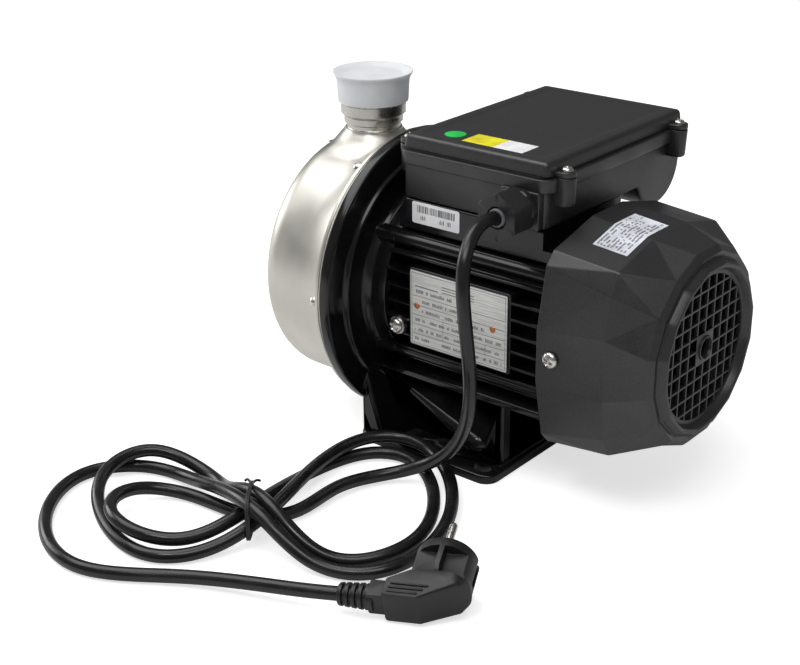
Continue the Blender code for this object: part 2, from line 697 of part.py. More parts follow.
def make_impeller(rotor, steel):
    bore = SHAFT_PUMP_RADIUS + GAP
    hub = IMPELLER_HUB_RADIUS
    outline = [(IMPELLER_BACK_X, bore), (HUB_FRONT_X, bore), (HUB_FRONT_X, hub - 0.001), (HUB_FRONT_X + 0.001, hub),
               (SHROUD_FRONT_X - 0.002, hub), (SHROUD_FRONT_X, hub + 0.002), (SHROUD_FRONT_X, IMPELLER_RADIUS),
               (IMPELLER_BACK_X, IMPELLER_RADIUS)]
    impeller = turned("impeller", outline, steel, rotor, sides=28)
    work = bmesh.new()
    for k in range(IMPELLER_VANES):
        add_prism(work, vane_outline(2 * pi * k / IMPELLER_VANES), VANE_FRONT_X, SHROUD_FRONT_X + 0.001)
    return fuse(impeller, place_mesh("impeller_vanes", work, parent=rotor))


def make_impeller_nut(rotor, steel):
    face = HUB_FRONT_X - GAP
    work = bmesh.new()
    add_prism(work, hexagon(IMPELLER_NUT_HEX), face - IMPELLER_NUT_LENGTH, face)
    nut = place_mesh("impeller_nut", work, steel, rotor)
    dome = turned("impeller_nut_dome", [(face - IMPELLER_NUT_LENGTH + 0.001, 0.0)]
                  + [(face - IMPELLER_NUT_LENGTH + 0.001, 0.0055)]
                  + [(face - IMPELLER_NUT_LENGTH - 0.003, 0.004), (face - IMPELLER_NUT_LENGTH - 0.0045, 0.0)],
                  parent=rotor, sides=16)
    fuse(nut, dome)
    bore = turned("impeller_nut_bore", [(face + 0.001, 0), (face + 0.001, SHAFT_PUMP_RADIUS - 0.001 + GAP),
                                        (face - IMPELLER_NUT_LENGTH + 0.001, SHAFT_PUMP_RADIUS - 0.001 + GAP),
                                        (face - IMPELLER_NUT_LENGTH + 0.001, 0)], parent=rotor, sides=16)
    return cut(nut, bore)


def make_seal(still, rotor, ceramic, carbon, steel):
    """Mechanical shaft seal: still ring in the cup, turning head and its spring."""
    shaft_clear = SHAFT_PUMP_RADIUS + 0.001
    outer = SEAL_CUP_RADIUS - GAP
    rear = CUP_FLOOR_X - GAP
    turned("seal_seat", [(rear, shaft_clear), (rear, outer - 0.001), (rear - 0.001, outer),
                         (SEAL_SEAT_FRONT_X + 0.002, outer), (SEAL_SEAT_FRONT_X + 0.002, SEAL_HEAD_RADIUS),
                         (SEAL_SEAT_FRONT_X, SEAL_HEAD_RADIUS), (SEAL_SEAT_FRONT_X, shaft_clear)],
           ceramic, still, sides=INNER_SIDES)
    bore = SHAFT_PUMP_RADIUS + GAP
    head_rear = SEAL_SEAT_FRONT_X - GAP
    turned("seal_head", [(head_rear, bore), (head_rear, SEAL_HEAD_RADIUS - 0.001),
                         (head_rear - 0.0015, SEAL_HEAD_RADIUS - 0.001), (head_rear - 0.0015, SEAL_HEAD_RADIUS),
                         (SEAL_HEAD_FRONT_X, SEAL_HEAD_RADIUS), (SEAL_HEAD_FRONT_X, bore)],
           carbon, rotor, sides=INNER_SIDES)
    make_spring(rotor, steel)


def make_spring(rotor, steel):
    """Coil spring between the seal head and the impeller, its wire carried along a helix."""
    radius = SEAL_HEAD_RADIUS - 0.0015
    low = SPRING_FRONT_X + SEAL_SPRING_WIRE
    high = SEAL_HEAD_FRONT_X - GAP - SEAL_SPRING_WIRE
    steps = SEAL_SPRING_TURNS * 12
    rings = []
    for k in range(steps + 1):
        angle = 2 * pi * SEAL_SPRING_TURNS * k / steps
        centre_x = low + (high - low) * k / steps
        ring = []
        for a, b in polygon(SEAL_SPRING_WIRE, 5):
            ring.append(((centre_x + b), (radius + a) * cos(angle), (radius + a) * sin(angle)))
        rings.append(ring)
    work = bmesh.new()
    add_loft(work, rings)
    place_mesh("seal_spring", work, steel, rotor)


def make_shaft(rotor, steel):
    seat = BEARING_BORE_RADIUS - GAP
    thread = SHAFT_PUMP_RADIUS - 0.001
    core_front = STATOR_FRONT_X - 0.006
    core_rear = core_front + ROTOR_LENGTH + 0.010
    fan_end = FAN_X + FAN_HUB_LENGTH + 0.002
    tip = HUB_FRONT_X - IMPELLER_NUT_LENGTH + 0.001
    front_shoulder = FRONT_BEARING_X + BEARING_WIDTH + GAP
    outline = [(tip, 0), (tip, thread - 0.0008), (tip + 0.0008, thread), (HUB_FRONT_X + 0.001, thread),
               (HUB_FRONT_X + 0.001, SHAFT_PUMP_RADIUS), (FRONT_BEARING_X - 0.001, SHAFT_PUMP_RADIUS),
               (FRONT_BEARING_X - 0.001, seat), (front_shoulder, seat), (front_shoulder, SHAFT_CORE_RADIUS),
               (REAR_BEARING_X - GAP, SHAFT_CORE_RADIUS), (REAR_BEARING_X - GAP, seat),
               (REAR_BEARING_X + BEARING_WIDTH + 0.001, seat), (REAR_BEARING_X + BEARING_WIDTH + 0.001, SHAFT_FAN_RADIUS),
               (fan_end - 0.001, SHAFT_FAN_RADIUS), (fan_end, SHAFT_FAN_RADIUS - 0.001), (fan_end, 0)]
    turned("shaft", outline, steel, rotor, sides=INNER_SIDES)


def make_slinger(rotor, rubber):
    low = CUP_FLOOR_X + COVER_THICKNESS + RUNNING_GAP
    bore = SHAFT_PUMP_RADIUS + GAP
    turned("slinger", [(low, bore), (low, SLINGER_RADIUS), (low + 0.001, SLINGER_RADIUS),
                       (low + SLINGER_THICKNESS, 0.009), (low + SLINGER_THICKNESS, bore)], rubber, rotor, sides=FEW_SIDES)


def make_bearing(name, low, still, rotor, steel):
    """Deep-groove bearing: a ring in the housing, a ring on the shaft and the caged balls between them."""
    high = low + BEARING_WIDTH
    middle = (low + high) / 2
    pitch = (BEARING_BORE_RADIUS + BEARING_OUTER_RADIUS) / 2
    outer_race = BEARING_OUTER_RADIUS - RACE_THICKNESS
    inner_race = BEARING_BORE_RADIUS + RACE_THICKNESS
    groove = BALL_RADIUS + RUNNING_GAP
    half = sqrt(groove ** 2 - (outer_race - pitch) ** 2) if groove > outer_race - pitch else 0.0
    start = 90 - atan2(half, outer_race - pitch) * 180 / pi
    outer_groove = arc((middle, pitch), groove, start, 180 - start, 2)
    inner_groove = [(x, 2 * pitch - r) for x, r in outer_groove]
    outline = [(low, outer_race), (low, BEARING_OUTER_RADIUS), (high, BEARING_OUTER_RADIUS), (high, outer_race)]
    turned(name + "_outer_ring", outline + outer_groove, steel, still, sides=INNER_SIDES)
    outline = [(low, inner_race), (low, BEARING_BORE_RADIUS), (high, BEARING_BORE_RADIUS), (high, inner_race)]
    turned(name + "_inner_ring", outline + inner_groove, steel, rotor, sides=INNER_SIDES)
    work = bmesh.new()
    steps = 4 * BEARING_BALLS
    rings = []
    for k in range(steps):
        size = BALL_RADIUS * (1.0, 0.8, CAGE_SHARE, 0.8)[k % 4]
        angle = 2 * pi * k / steps
        ring = []
        for a, b in polygon(size, 6):
            ring.append((middle + b, (pitch + a) * cos(angle), (pitch + a) * sin(angle)))
        rings.append(ring)
    add_loft(work, rings, close_ends=False)
    place_mesh(name + "_balls", work, steel, rotor)


# Bracket with its foot

def make_bracket(still, paint):
    """Pump flange, motor barrel, buttress, pedestal and foot: one gloss-painted casting."""
    bracket = turned("bracket", bracket_outline(), paint, still)
    fuse(bracket, tie_lugs("bracket_lugs", FLANGE_REAR_X - 0.001, BARREL_REAR_X, still))
    fuse(bracket, make_foot_plate())
    fuse(bracket, make_pedestal())
    fuse(bracket, make_cheeks())
    cut(bracket, make_pedestal_hollow())
    cut(bracket, holes("flange_bolt_holes", ring_places(CASING_BOLT_COUNT, CASING_BOLT_CIRCLE),
                       0.0026, FLANGE_FACE_X - 0.001, FLANGE_FACE_X + 0.006, still, sides=8))
    cut(bracket, holes("bracket_tie_holes", tie_places(), TIE_BOLT_RADIUS + GAP,
                       FLANGE_REAR_X + 0.003, BARREL_REAR_X + 0.002, still))
    return bracket


def bracket_outline():
    rounding = 0.003
    pocket = BEARING_OUTER_RADIUS + GAP
    boss = pocket + BEARING_BOSS_WALL
    wall_x = CUP_FLOOR_X + COVER_THICKNESS + SLINGER_THICKNESS + 2 * RUNNING_GAP
    boss_rear = FRONT_BEARING_X + BEARING_WIDTH
    ring = FLANGE_RING_RADIUS
    outline = [(FLANGE_FACE_X, LANTERN_BORE), (FLANGE_FACE_X, FLANGE_RADIUS)]
    outline += arc((FLANGE_REAR_X - rounding, FLANGE_RADIUS - rounding), rounding, 90, 0, 2)
    outline += [(FLANGE_REAR_X, ring), (FLANGE_REAR_X + FLANGE_RING_HEIGHT, ring - 0.001),
                (FLANGE_REAR_X + FLANGE_RING_HEIGHT, ring - FLANGE_RING_WIDTH + 0.001),
                (FLANGE_REAR_X, ring - FLANGE_RING_WIDTH), (FLANGE_REAR_X, BARREL_RADIUS + 0.004),
                (FLANGE_REAR_X + 0.004, BARREL_RADIUS), (BARREL_REAR_X, BARREL_RADIUS - 0.001),
                (BARREL_REAR_X, BARREL_RADIUS - BARREL_WALL), (FLANGE_REAR_X, BARREL_RADIUS - BARREL_WALL - 0.001),
                (FLANGE_REAR_X, boss + 0.001), (boss_rear, boss), (boss_rear, pocket),
                (FRONT_BEARING_X - GAP, pocket), (FRONT_BEARING_X - GAP, BEARING_BORE_RADIUS + 0.004),
                (wall_x, BEARING_BORE_RADIUS + 0.004), (wall_x, LANTERN_BORE)]
    return outline


def tie_places():
    places = []
    for side_y in (1, -1):
        for side_z in (1, -1):
            places.append((side_y * TIE_BOLT_CIRCLE * cos(TIE_BOLT_ANGLE),
                           side_z * TIE_BOLT_CIRCLE * sin(TIE_BOLT_ANGLE)))
    return places


def tie_lugs(name, low, high, still):
    work = bmesh.new()
    for y, z in tie_places():
        add_turned(work, [(low, 0), (low, TIE_BOSS_RADIUS + 0.0005), (high, TIE_BOSS_RADIUS), (high, 0)],
                   centre=(0, y, z), sides=8)
    return place_mesh(name, work, parent=still)


def make_foot_plate():
    outline = rounded_rectangle((FLANGE_FACE_X + 0.002, FOOT_REAR_X), (-FOOT_HALF_WIDTH, FOOT_HALF_WIDTH), FOOT_CORNER)
    plate = prism("foot_plate", outline, 0.0, FOOT_THICKNESS, axis="Z")
    work = bmesh.new()
    for x in SLOT_X:
        for side in (1, -1):
            half = (SLOT_LENGTH - SLOT_WIDTH) / 2
            ends = arc((x + half, side * SLOT_Y), SLOT_WIDTH / 2, -90, 90, 4)
            ends += arc((x - half, side * SLOT_Y), SLOT_WIDTH / 2, 90, 270, 4)
            add_prism(work, ends, -0.002, FOOT_THICKNESS + 0.002, axis="Z")
    return cut(plate, place_mesh("foot_slots", work))


def make_pedestal():
    """Buttress behind the flange and the core of the pedestal, seen as one side outline."""
    front = FLANGE_FACE_X + 0.003
    work = bmesh.new()
    half = PEDESTAL_HALF_WIDTH
    add_block(work, (front, PEDESTAL_REAR_X), (-half, half), (FOOT_THICKNESS - 0.002, PEDESTAL_TOP))
    pedestal = place_mesh("pedestal", work, smooth=False)
    low = FOOT_THICKNESS - 0.001
    rear = FLANGE_REAR_X
    side = [(front, low), (rear + BUTTRESS_LENGTH, low), (rear, BUTTRESS_HEIGHT), (front, BUTTRESS_HEIGHT)]
    buttress = prism("buttress", side, -BUTTRESS_HALF_WIDTH, BUTTRESS_HALF_WIDTH, axis="-Y")
    return fuse(pedestal, buttress)


def make_cheeks():
    """Walls that stand out below the motor and end in a slanting edge, one on each side."""
    front = FLANGE_REAR_X + 0.002
    low = FOOT_THICKNESS - 0.001
    rear = PEDESTAL_REAR_X
    outline = [(front, PEDESTAL_TOP - 0.001), (front, CHEEK_TOP_FRONT), (rear - 0.003, low), (rear, low),
               (rear, PEDESTAL_TOP - 0.001)]
    half = PEDESTAL_HALF_WIDTH + CHEEK_DEPTH
    return prism("cheeks", outline, -half, half, axis="-Y")


def make_pedestal_hollow():
    """Two pockets cast into the foot's underside, with a web left between them below the origin."""
    half = PEDESTAL_HALF_WIDTH - PEDESTAL_WALL
    top = PEDESTAL_TOP - PEDESTAL_ROOF
    spans = ((FLANGE_REAR_X + PEDESTAL_WALL, -PEDESTAL_WEB / 2),
             (PEDESTAL_WEB / 2, PEDESTAL_REAR_X - PEDESTAL_WALL))
    work = bmesh.new()
    for low_x, high_x in spans:
        ring = rounded_rectangle((low_x, high_x), (-half, half), 0.005, 2)
        middle = (low_x + high_x) / 2
        low = [Vector((a, b, -0.002)) for a, b in ring]
        high = [Vector((middle + (a - middle) * POCKET_DRAFT, b * POCKET_DRAFT, top)) for a, b in ring]
        add_loft(work, [low, high])
    return place_mesh("pedestal_hollow", work)


# Motor

def fin_points():
    """Side outline of the housing from the platform down to the saddle, at +Y."""
    shell = HOUSING_SHELL_RADIUS
    half = FIN_THICKNESS / 2
    points = []
    for k in range(FIN_COUNT):
        height = FIN_PITCH * ((FIN_COUNT - 1) / 2 - k)
        tip = min(FIN_HALF_WIDTH, sqrt(FIN_TIP_RADIUS ** 2 - height ** 2))
        for edge, taper in ((half, 0.8), (-half, 0.8)):
            root = (sqrt(shell ** 2 - (height + edge) ** 2), height + edge)
            end = (tip, height + edge * taper)
            points += [root, end] if edge > 0 else [end, root]
    return points


def housing_outline():
    """Section of the extruded housing: platform on top, fins on both sides and a saddle below."""
    shell = HOUSING_SHELL_RADIUS
    ledge_top = SADDLE_BOTTOM + SADDLE_LEDGE
    top_fin = FIN_PITCH * (FIN_COUNT - 1) / 2 + FIN_THICKNESS / 2
    right = [(PLATFORM_HALF_WIDTH, PLATFORM_TOP), (PLATFORM_HALF_WIDTH, top_fin + 0.0015)]
    right += fin_points()[0:]
    waist = -top_fin - 0.0008
    right += [(sqrt(shell ** 2 - waist ** 2), waist), (SADDLE_HALF_WIDTH - 0.004, ledge_top + 0.0025),
              (SADDLE_HALF_WIDTH, ledge_top), (SADDLE_HALF_WIDTH, SADDLE_BOTTOM)]
    left = [(-y, z) for y, z in reversed(right)]
    return right + left


def make_housing(still, paint):
    housing = prism("motor_housing", housing_outline(), HOUSING_FRONT_X, HOUSING_REAR_X, paint, still)
    fuse(housing, tie_lugs("housing_bolt_bosses", HOUSING_FRONT_X, HOUSING_REAR_X, still))
    fuse(housing, make_pads(still))
    cut(housing, make_platform_ends(still))
    cut(housing, turned("housing_bore", [(HOUSING_FRONT_X - 0.002, 0), (HOUSING_FRONT_X - 0.002, HOUSING_BORE),
                                         (HOUSING_REAR_X + 0.002, HOUSING_BORE), (HOUSING_REAR_X + 0.002, 0)],
                        parent=still))
    cut(housing, block("housing_wire_way", (WIRE_HOLE_X - WIRE_HOLE / 2, WIRE_HOLE_X + WIRE_HOLE / 2),
                       (-WIRE_HOLE / 2, WIRE_HOLE / 2), (0.03, PLATFORM_TOP + 0.002), parent=still))
    cut(housing, holes("housing_tie_holes", tie_places(), TIE_BOLT_RADIUS + GAP,
                       HOUSING_FRONT_X - 0.002, HOUSING_REAR_X + 0.002, still))
    cut(housing, holes("rivet_holes", RIVET_PLACES, 0.0016, FIN_HALF_WIDTH - 0.006, FIN_HALF_WIDTH + 0.002,
                       still, axis="-Y"))
    cut(housing, holes("earth_hole", [(EARTH_SCREW_X, EARTH_SCREW_Z)], 0.0022, FIN_HALF_WIDTH - 0.008,
                       FIN_HALF_WIDTH + 0.002, still, axis="-Y"))
    return housing


def make_pads(still):
    """Flat pad behind the nameplate and the round boss of the earth screw."""
    work = bmesh.new()
    add_prism(work, rounded_rectangle(PAD_X, (-PAD_HALF_HEIGHT, PAD_HALF_HEIGHT), 0.002, 2),
              0.045, FIN_HALF_WIDTH, axis="-Y")
    pads = place_mesh("nameplate_pad", work, parent=still)
    boss = turned("earth_boss", [(0.045, 0), (0.045, 0.008), (FIN_HALF_WIDTH, 0.007), (FIN_HALF_WIDTH, 0)],
                  parent=still, axis="-Y", centre=(EARTH_SCREW_X, 0, EARTH_SCREW_Z), sides=FEW_SIDES)
    return fuse(pads, boss)


def make_platform_ends(still):
    """The platform is shorter than the housing, so its ends are cut back."""
    work = bmesh.new()
    low = FIN_TIP_RADIUS - 0.010
    add_block(work, (HOUSING_FRONT_X - 0.002, BODY_X[0] + 0.002), (-0.08, 0.08), (low, 0.08))
    add_block(work, (BODY_X[1], HOUSING_REAR_X + 0.002), (-0.08, 0.08), (low, 0.08))
    return place_mesh("platform_ends", work, parent=still, smooth=False)


def make_stator(still, iron, copper):
    """Laminated core, and the windings that run through its slots and turn back at both ends."""
    bore = ROTOR_RADIUS + AIR_GAP
    outer = HOUSING_BORE - GAP
    rear = STATOR_FRONT_X + STATOR_LENGTH
    core = turned("stator_core", [(STATOR_FRONT_X, bore), (STATOR_FRONT_X, outer), (rear, outer), (rear, bore)],
                  iron, still, sides=28)
    low = bore + 0.004
    high = low + WINDING_WALL
    middle = (low + high) / 2
    slots = ring_places(STATOR_SLOTS, middle)
    cut(core, holes("stator_slots", slots, SLOT_RADIUS + GAP, STATOR_FRONT_X - 0.002, rear + 0.002, still, sides=6))
    windings = holes("stator_windings", slots, SLOT_RADIUS, STATOR_FRONT_X - 0.001, rear + 0.001, still, sides=6)
    windings.data.materials.append(copper)
    work = bmesh.new()
    for start, step in ((STATOR_FRONT_X - GAP, -1), (rear + GAP, 1)):
        end = start + step * WINDING_LENGTH
        add_turned(work, [(start, low), (start, high), (end - step * 0.004, high + 0.001), (end, high - 0.003),
                          (end, low + 0.003), (end - step * 0.004, low)], sides=16)
    fuse(windings, place_mesh("winding_ends", work, parent=still))


def make_rotor_core(rotor, iron):
    low = STATOR_FRONT_X - 0.001
    high = low + ROTOR_LENGTH
    bore = SHAFT_CORE_RADIUS + GAP
    outline = [(low - 0.004, 0.020), (low - 0.004, 0.027), (low, 0.027), (low, ROTOR_RADIUS), (high, ROTOR_RADIUS),
               (high, 0.027), (high + 0.004, 0.027), (high + 0.004, 0.020), (high, 0.020), (high, bore),
               (low, bore), (low, 0.020)]
    turned("rotor_core", outline, iron, rotor, sides=18)


def make_tie_bolts(still, nickel):
    head_face = SHIELD_REAR_X + GAP
    work = bmesh.new()
    add_turned(work, [(head_face + 0.004, 0), (head_face + 0.004, 0.0040), (head_face, 0.0046),
                      (head_face, TIE_BOLT_RADIUS), (FLANGE_REAR_X + 0.004, TIE_BOLT_RADIUS),
                      (FLANGE_REAR_X + 0.004, 0)], sides=8)
    place_copies("tie_bolt", work, [(0, y, z) for y, z in tie_places()], nickel, still)


def make_rear_shield(still, paint):
    """End shield with the rear bearing's boss and two ears that carry the fan cover."""
    pocket = BEARING_OUTER_RADIUS + GAP
    boss = pocket + BEARING_BOSS_WALL - 0.001
    hole = BEARING_BORE_RADIUS + 0.002
    spigot = HOUSING_BORE - GAP
    pocket_end = REAR_BEARING_X + BEARING_WIDTH + GAP
    outline = [(SHIELD_REAR_X, hole), (SHIELD_REAR_X, SHIELD_RADIUS - 0.002), (SHIELD_REAR_X - 0.002, SHIELD_RADIUS),
               (SHIELD_FRONT_X, SHIELD_RADIUS), (SHIELD_FRONT_X, spigot), (SHIELD_FRONT_X - 0.004, spigot),
               (SHIELD_FRONT_X - 0.004, spigot - 0.004), (SHIELD_FRONT_X, boss),
               (REAR_BEARING_X, boss), (REAR_BEARING_X, pocket), (pocket_end, pocket), (pocket_end, hole)]
    shield = turned("rear_shield", outline, paint, still, sides=24)
    work = bmesh.new()
    reach = FAN_COVER_RIM[0][0] - FAN_COVER_WALL - GAP
    for side in (1, -1):
        y = sorted((side * (SHIELD_RADIUS - 0.006), side * reach_at(COVER_SCREW_X, reach)))
        add_block(work, (SHIELD_FRONT_X + 0.001, COVER_SCREW_X + COVER_BOSS_RADIUS), y,
                  (-COVER_BOSS_RADIUS, COVER_BOSS_RADIUS))
    fuse(shield, place_mesh("shield_ears", work, parent=still, smooth=False))
    cut(shield, holes("shield_tie_holes", tie_places(), TIE_BOLT_RADIUS + GAP,
                      SHIELD_FRONT_X - 0.002, SHIELD_REAR_X + 0.002, still))
    return cut(shield, holes("ear_holes", [(COVER_SCREW_X, 0)], 0.0023, -0.08, 0.08, still, axis="-Y"))


def reach_at(x, rim_reach):
    """Half width of the fan cover's inside at a station between its rim and its shoulder."""
    share = (x + COVER_BOSS_RADIUS - FAN_COVER_RIM_X) / (FAN_COVER_SHOULDER_X - FAN_COVER_RIM_X)
    return rim_reach - share * (FAN_COVER_RIM[0][0] - FAN_COVER_SHOULDER[0][0])


# Fan and its faceted cover

def make_fan(rotor, plastic):
    """Radial fan: a hub, a web and straight blades that are wider at the hub."""
    bore = SHAFT_FAN_RADIUS + GAP
    hub = FAN_HUB_RADIUS
    outline = [(FAN_X, bore), (FAN_X + FAN_HUB_LENGTH, bore), (FAN_X + FAN_HUB_LENGTH, hub - 0.001),
               (FAN_X + FAN_HUB_LENGTH - 0.001, hub), (FAN_X + FAN_WEB, hub), (FAN_X + FAN_WEB, FAN_RADIUS - 0.012),
               (FAN_X, FAN_RADIUS - 0.012)]
    fan = turned("fan", outline, plastic, rotor, sides=24)
    work = bmesh.new()
    for k in range(FAN_BLADES):
        angle = 2 * pi * k / FAN_BLADES
        turn = Matrix.Rotation(angle, 4, "X")
        half = FAN_BLADE_THICKNESS / 2
        profile = [(FAN_X + 0.0005, hub - 0.002), (FAN_X + 0.0005, FAN_RADIUS), (FAN_X + FAN_BLADE_WIDTH - 0.004, FAN_RADIUS),
                   (FAN_X + FAN_BLADE_WIDTH, FAN_RADIUS - 0.010), (FAN_X + FAN_BLADE_WIDTH - 0.002, hub - 0.002)]
        rings = [[turn @ Vector((x, shift, r)) for x, r in profile] for shift in (-half, half)]
        add_loft(work, rings)
    return fuse(fan, place_mesh("fan_blades", work, parent=rotor, smooth=False))


def facet_corners(quadrant):
    """Sixteen corners from the four of one quadrant, mirrored about both axes."""
    first = list(quadrant)
    second = [(-y, z) for y, z in reversed(quadrant)]
    third = [(-y, -z) for y, z in quadrant]
    fourth = [(y, -z) for y, z in reversed(quadrant)]
    return first + second + third + fourth


def facet_ring(corners, x, shrink=0.0):
    """Ring with one more point at the middle of each side; shrink moves it towards the axis."""
    points = []
    for k, (y, z) in enumerate(corners):
        next_y, next_z = corners[(k + 1) % len(corners)]
        for a, b in ((y, z), ((y + next_y) / 2, (z + next_z) / 2)):
            scale = 1 - shrink / hypot(a, b)
            points.append(Vector((x, a * scale, b * scale)))
    return points


def round_ring(radius, x):
    """Ring of equal count to a facet ring, its points at the same bearings."""
    step = 2 * pi / 32
    return [Vector((x, radius * cos(step * (k + 1)), radius * sin(step * (k + 1)))) for k in range(32)]


def fan_cover_rings():
    """Rings from the rim over the outside to the grille's face, then back along the inside."""
    wall = FAN_COVER_WALL
    rim = facet_corners(FAN_COVER_RIM)
    shoulder = facet_corners(FAN_COVER_SHOULDER)
    end = polygon(FAN_COVER_END_RADIUS, 16, pi / 16)
    crown = FAN_COVER_END_X + FAN_COVER_CROWN
    face = GRILLE_FACE_X
    inside = face - GRILLE_THICKNESS
    outside = [facet_ring(rim, FAN_COVER_RIM_X), facet_ring(shoulder, FAN_COVER_SHOULDER_X),
               facet_ring(end, FAN_COVER_END_X), round_ring(FAN_COVER_END_RADIUS - 0.004, crown),
               round_ring(VALLEY_RADIUS, crown - 0.0008), round_ring(LIP_OUTER_RADIUS + 0.0004, crown),
               round_ring(LIP_OUTER_RADIUS - 0.0008, crown + LIP_HEIGHT),
               round_ring(LIP_INNER_RADIUS + 0.0004, crown + LIP_HEIGHT), round_ring(GRILLE_RADIUS + 0.001, face)]
    within = [round_ring(GRILLE_RADIUS + 0.001, inside),
              round_ring(FAN_COVER_END_RADIUS - 0.006, inside),
              facet_ring(end, FAN_COVER_END_X - wall, wall), facet_ring(shoulder, FAN_COVER_SHOULDER_X, wall),
              facet_ring(rim, FAN_COVER_RIM_X, wall)]
    return outside, within


def make_fan_cover(still, plastic):
    """Faceted guard: two belts of flat facets, a lip ring and a square-mesh grille."""
    outside, within = fan_cover_rings()
    work = bmesh.new()
    made = [[work.verts.new(point) for point in ring] for ring in outside + within]
    count = len(made[0])
    belts = []
    for ring, following in list(zip(made, made[1:])) + [(made[-1], made[0])]:
        if ring is made[len(outside) - 1]:
            continue
        for k in range(count):
            other = (k + 1) % count
            belts.append(work.faces.new((ring[k], ring[other], following[other], following[k])))
    bmesh.ops.triangulate(work, faces=belts)
    work.faces.new(made[len(outside) - 1])
    work.faces.new(made[len(outside)])
    cover = place_mesh("fan_cover", work, plastic, still, smooth=False)
    cut(cover, grille_cutter(still))
    return cut(cover, holes("cover_screw_holes", [(COVER_SCREW_X, 0)], 0.0028, -0.08, 0.08, still, axis="-Y"))


def clip_to_disc(square, radius):
    """The part of a convex outline inside a round disc of 32 sides."""
    kept = list(square)
    rim = polygon(radius, 32, pi / 32)
    for k, start in enumerate(rim):
        end = rim[(k + 1) % len(rim)]
        edge = (end[0] - start[0], end[1] - start[1])
        clipped = []
        for j, point in enumerate(kept):
            other = kept[(j + 1) % len(kept)]
            here = edge[0] * (point[1] - start[1]) - edge[1] * (point[0] - start[0])
            there = edge[0] * (other[1] - start[1]) - edge[1] * (other[0] - start[0])
            if here >= 0:
                clipped.append(point)
            if here * there < 0:
                share = here / (here - there)
                clipped.append((point[0] + share * (other[0] - point[0]), point[1] + share * (other[1] - point[1])))
        kept = [point for j, point in enumerate(clipped)
                if hypot(point[0] - clipped[j - 1][0], point[1] - clipped[j - 1][1]) > 1e-5]
    return kept


def outline_area(outline):
    total = 0.0
    for k, (a, b) in enumerate(outline):
        c, d = outline[(k + 1) % len(outline)]
        total += a * d - c * b
    return abs(total) / 2


def grille_cutter(still):
    """Square windows on a regular pitch, clipped to the grille's circle, and the centre hole."""
    half = (GRILLE_PITCH - GRILLE_RIB) / 2
    low = GRILLE_FACE_X - GRILLE_THICKNESS - 0.001
    high = GRILLE_FACE_X + 0.001
    reach = int(GRILLE_RADIUS / GRILLE_PITCH) + 1
    work = bmesh.new()
    for row in range(-reach, reach + 1):
        for column in range(-reach, reach + 1):
            y, z = column * GRILLE_PITCH, row * GRILLE_PITCH
            if hypot(y, z) < GRILLE_HUB_RADIUS + half:
                continue
            square = [(y - half, z - half), (y + half, z - half), (y + half, z + half), (y - half, z + half)]
            window = clip_to_disc(square, GRILLE_RADIUS)
            if len(window) > 2 and outline_area(window) > 0.25 * (2 * half) ** 2:
                add_prism(work, window, low, high)
    add_prism(work, polygon(GRILLE_HUB_HOLE, 16), low, high)
    return place_mesh("grille_windows", work, parent=still, smooth=False)


def add_pan_screw(work, face, end, radius, head_radius, head_height, axis, centre=(0, 0, 0), sides=16):
    """Pan-head screw; face is under its head, and it points back along the axis to end."""
    top = face + head_height
    add_turned(work, [(end, 0), (end, radius), (face, radius), (face, head_radius),
                      (face + 0.35 * head_height, head_radius), (face + 0.8 * head_height, 0.72 * head_radius),
                      (top, 0.3 * head_radius), (top, 0)], axis=axis, centre=centre, sides=sides)


def make_cover_screws(still, nickel):
    outside = reach_at(COVER_SCREW_X - COVER_BOSS_RADIUS, FAN_COVER_RIM[0][0]) + GAP + 0.0004
    work = bmesh.new()
    add_pan_screw(work, outside, outside - 0.012, 0.0020, 0.0045, 0.003, "-Y", sides=9)
    places = [(COVER_SCREW_X, 0, 0)] * 2
    place_copies("fan_cover_screw", work, places, nickel, still, turns=[(0, 0, 0), (0, 0, pi)])


# Terminal box

def box_section(offset):
    """Section across X of the box's lower body: flat floor and the capacitor's half-round bulge."""
    radius = BULGE_RADIUS - offset
    low = BOX_FLOOR + offset
    meet = BULGE_Y - sqrt(max(radius ** 2 - (BULGE_Z - low) ** 2, 0.0))
    start = atan2(low - BULGE_Z, meet - BULGE_Y) * 180 / pi + 360
    bulge = arc((BULGE_Y, BULGE_Z), radius, start, 360, 14)
    return [(BODY_Y[0] + offset, low)] + bulge


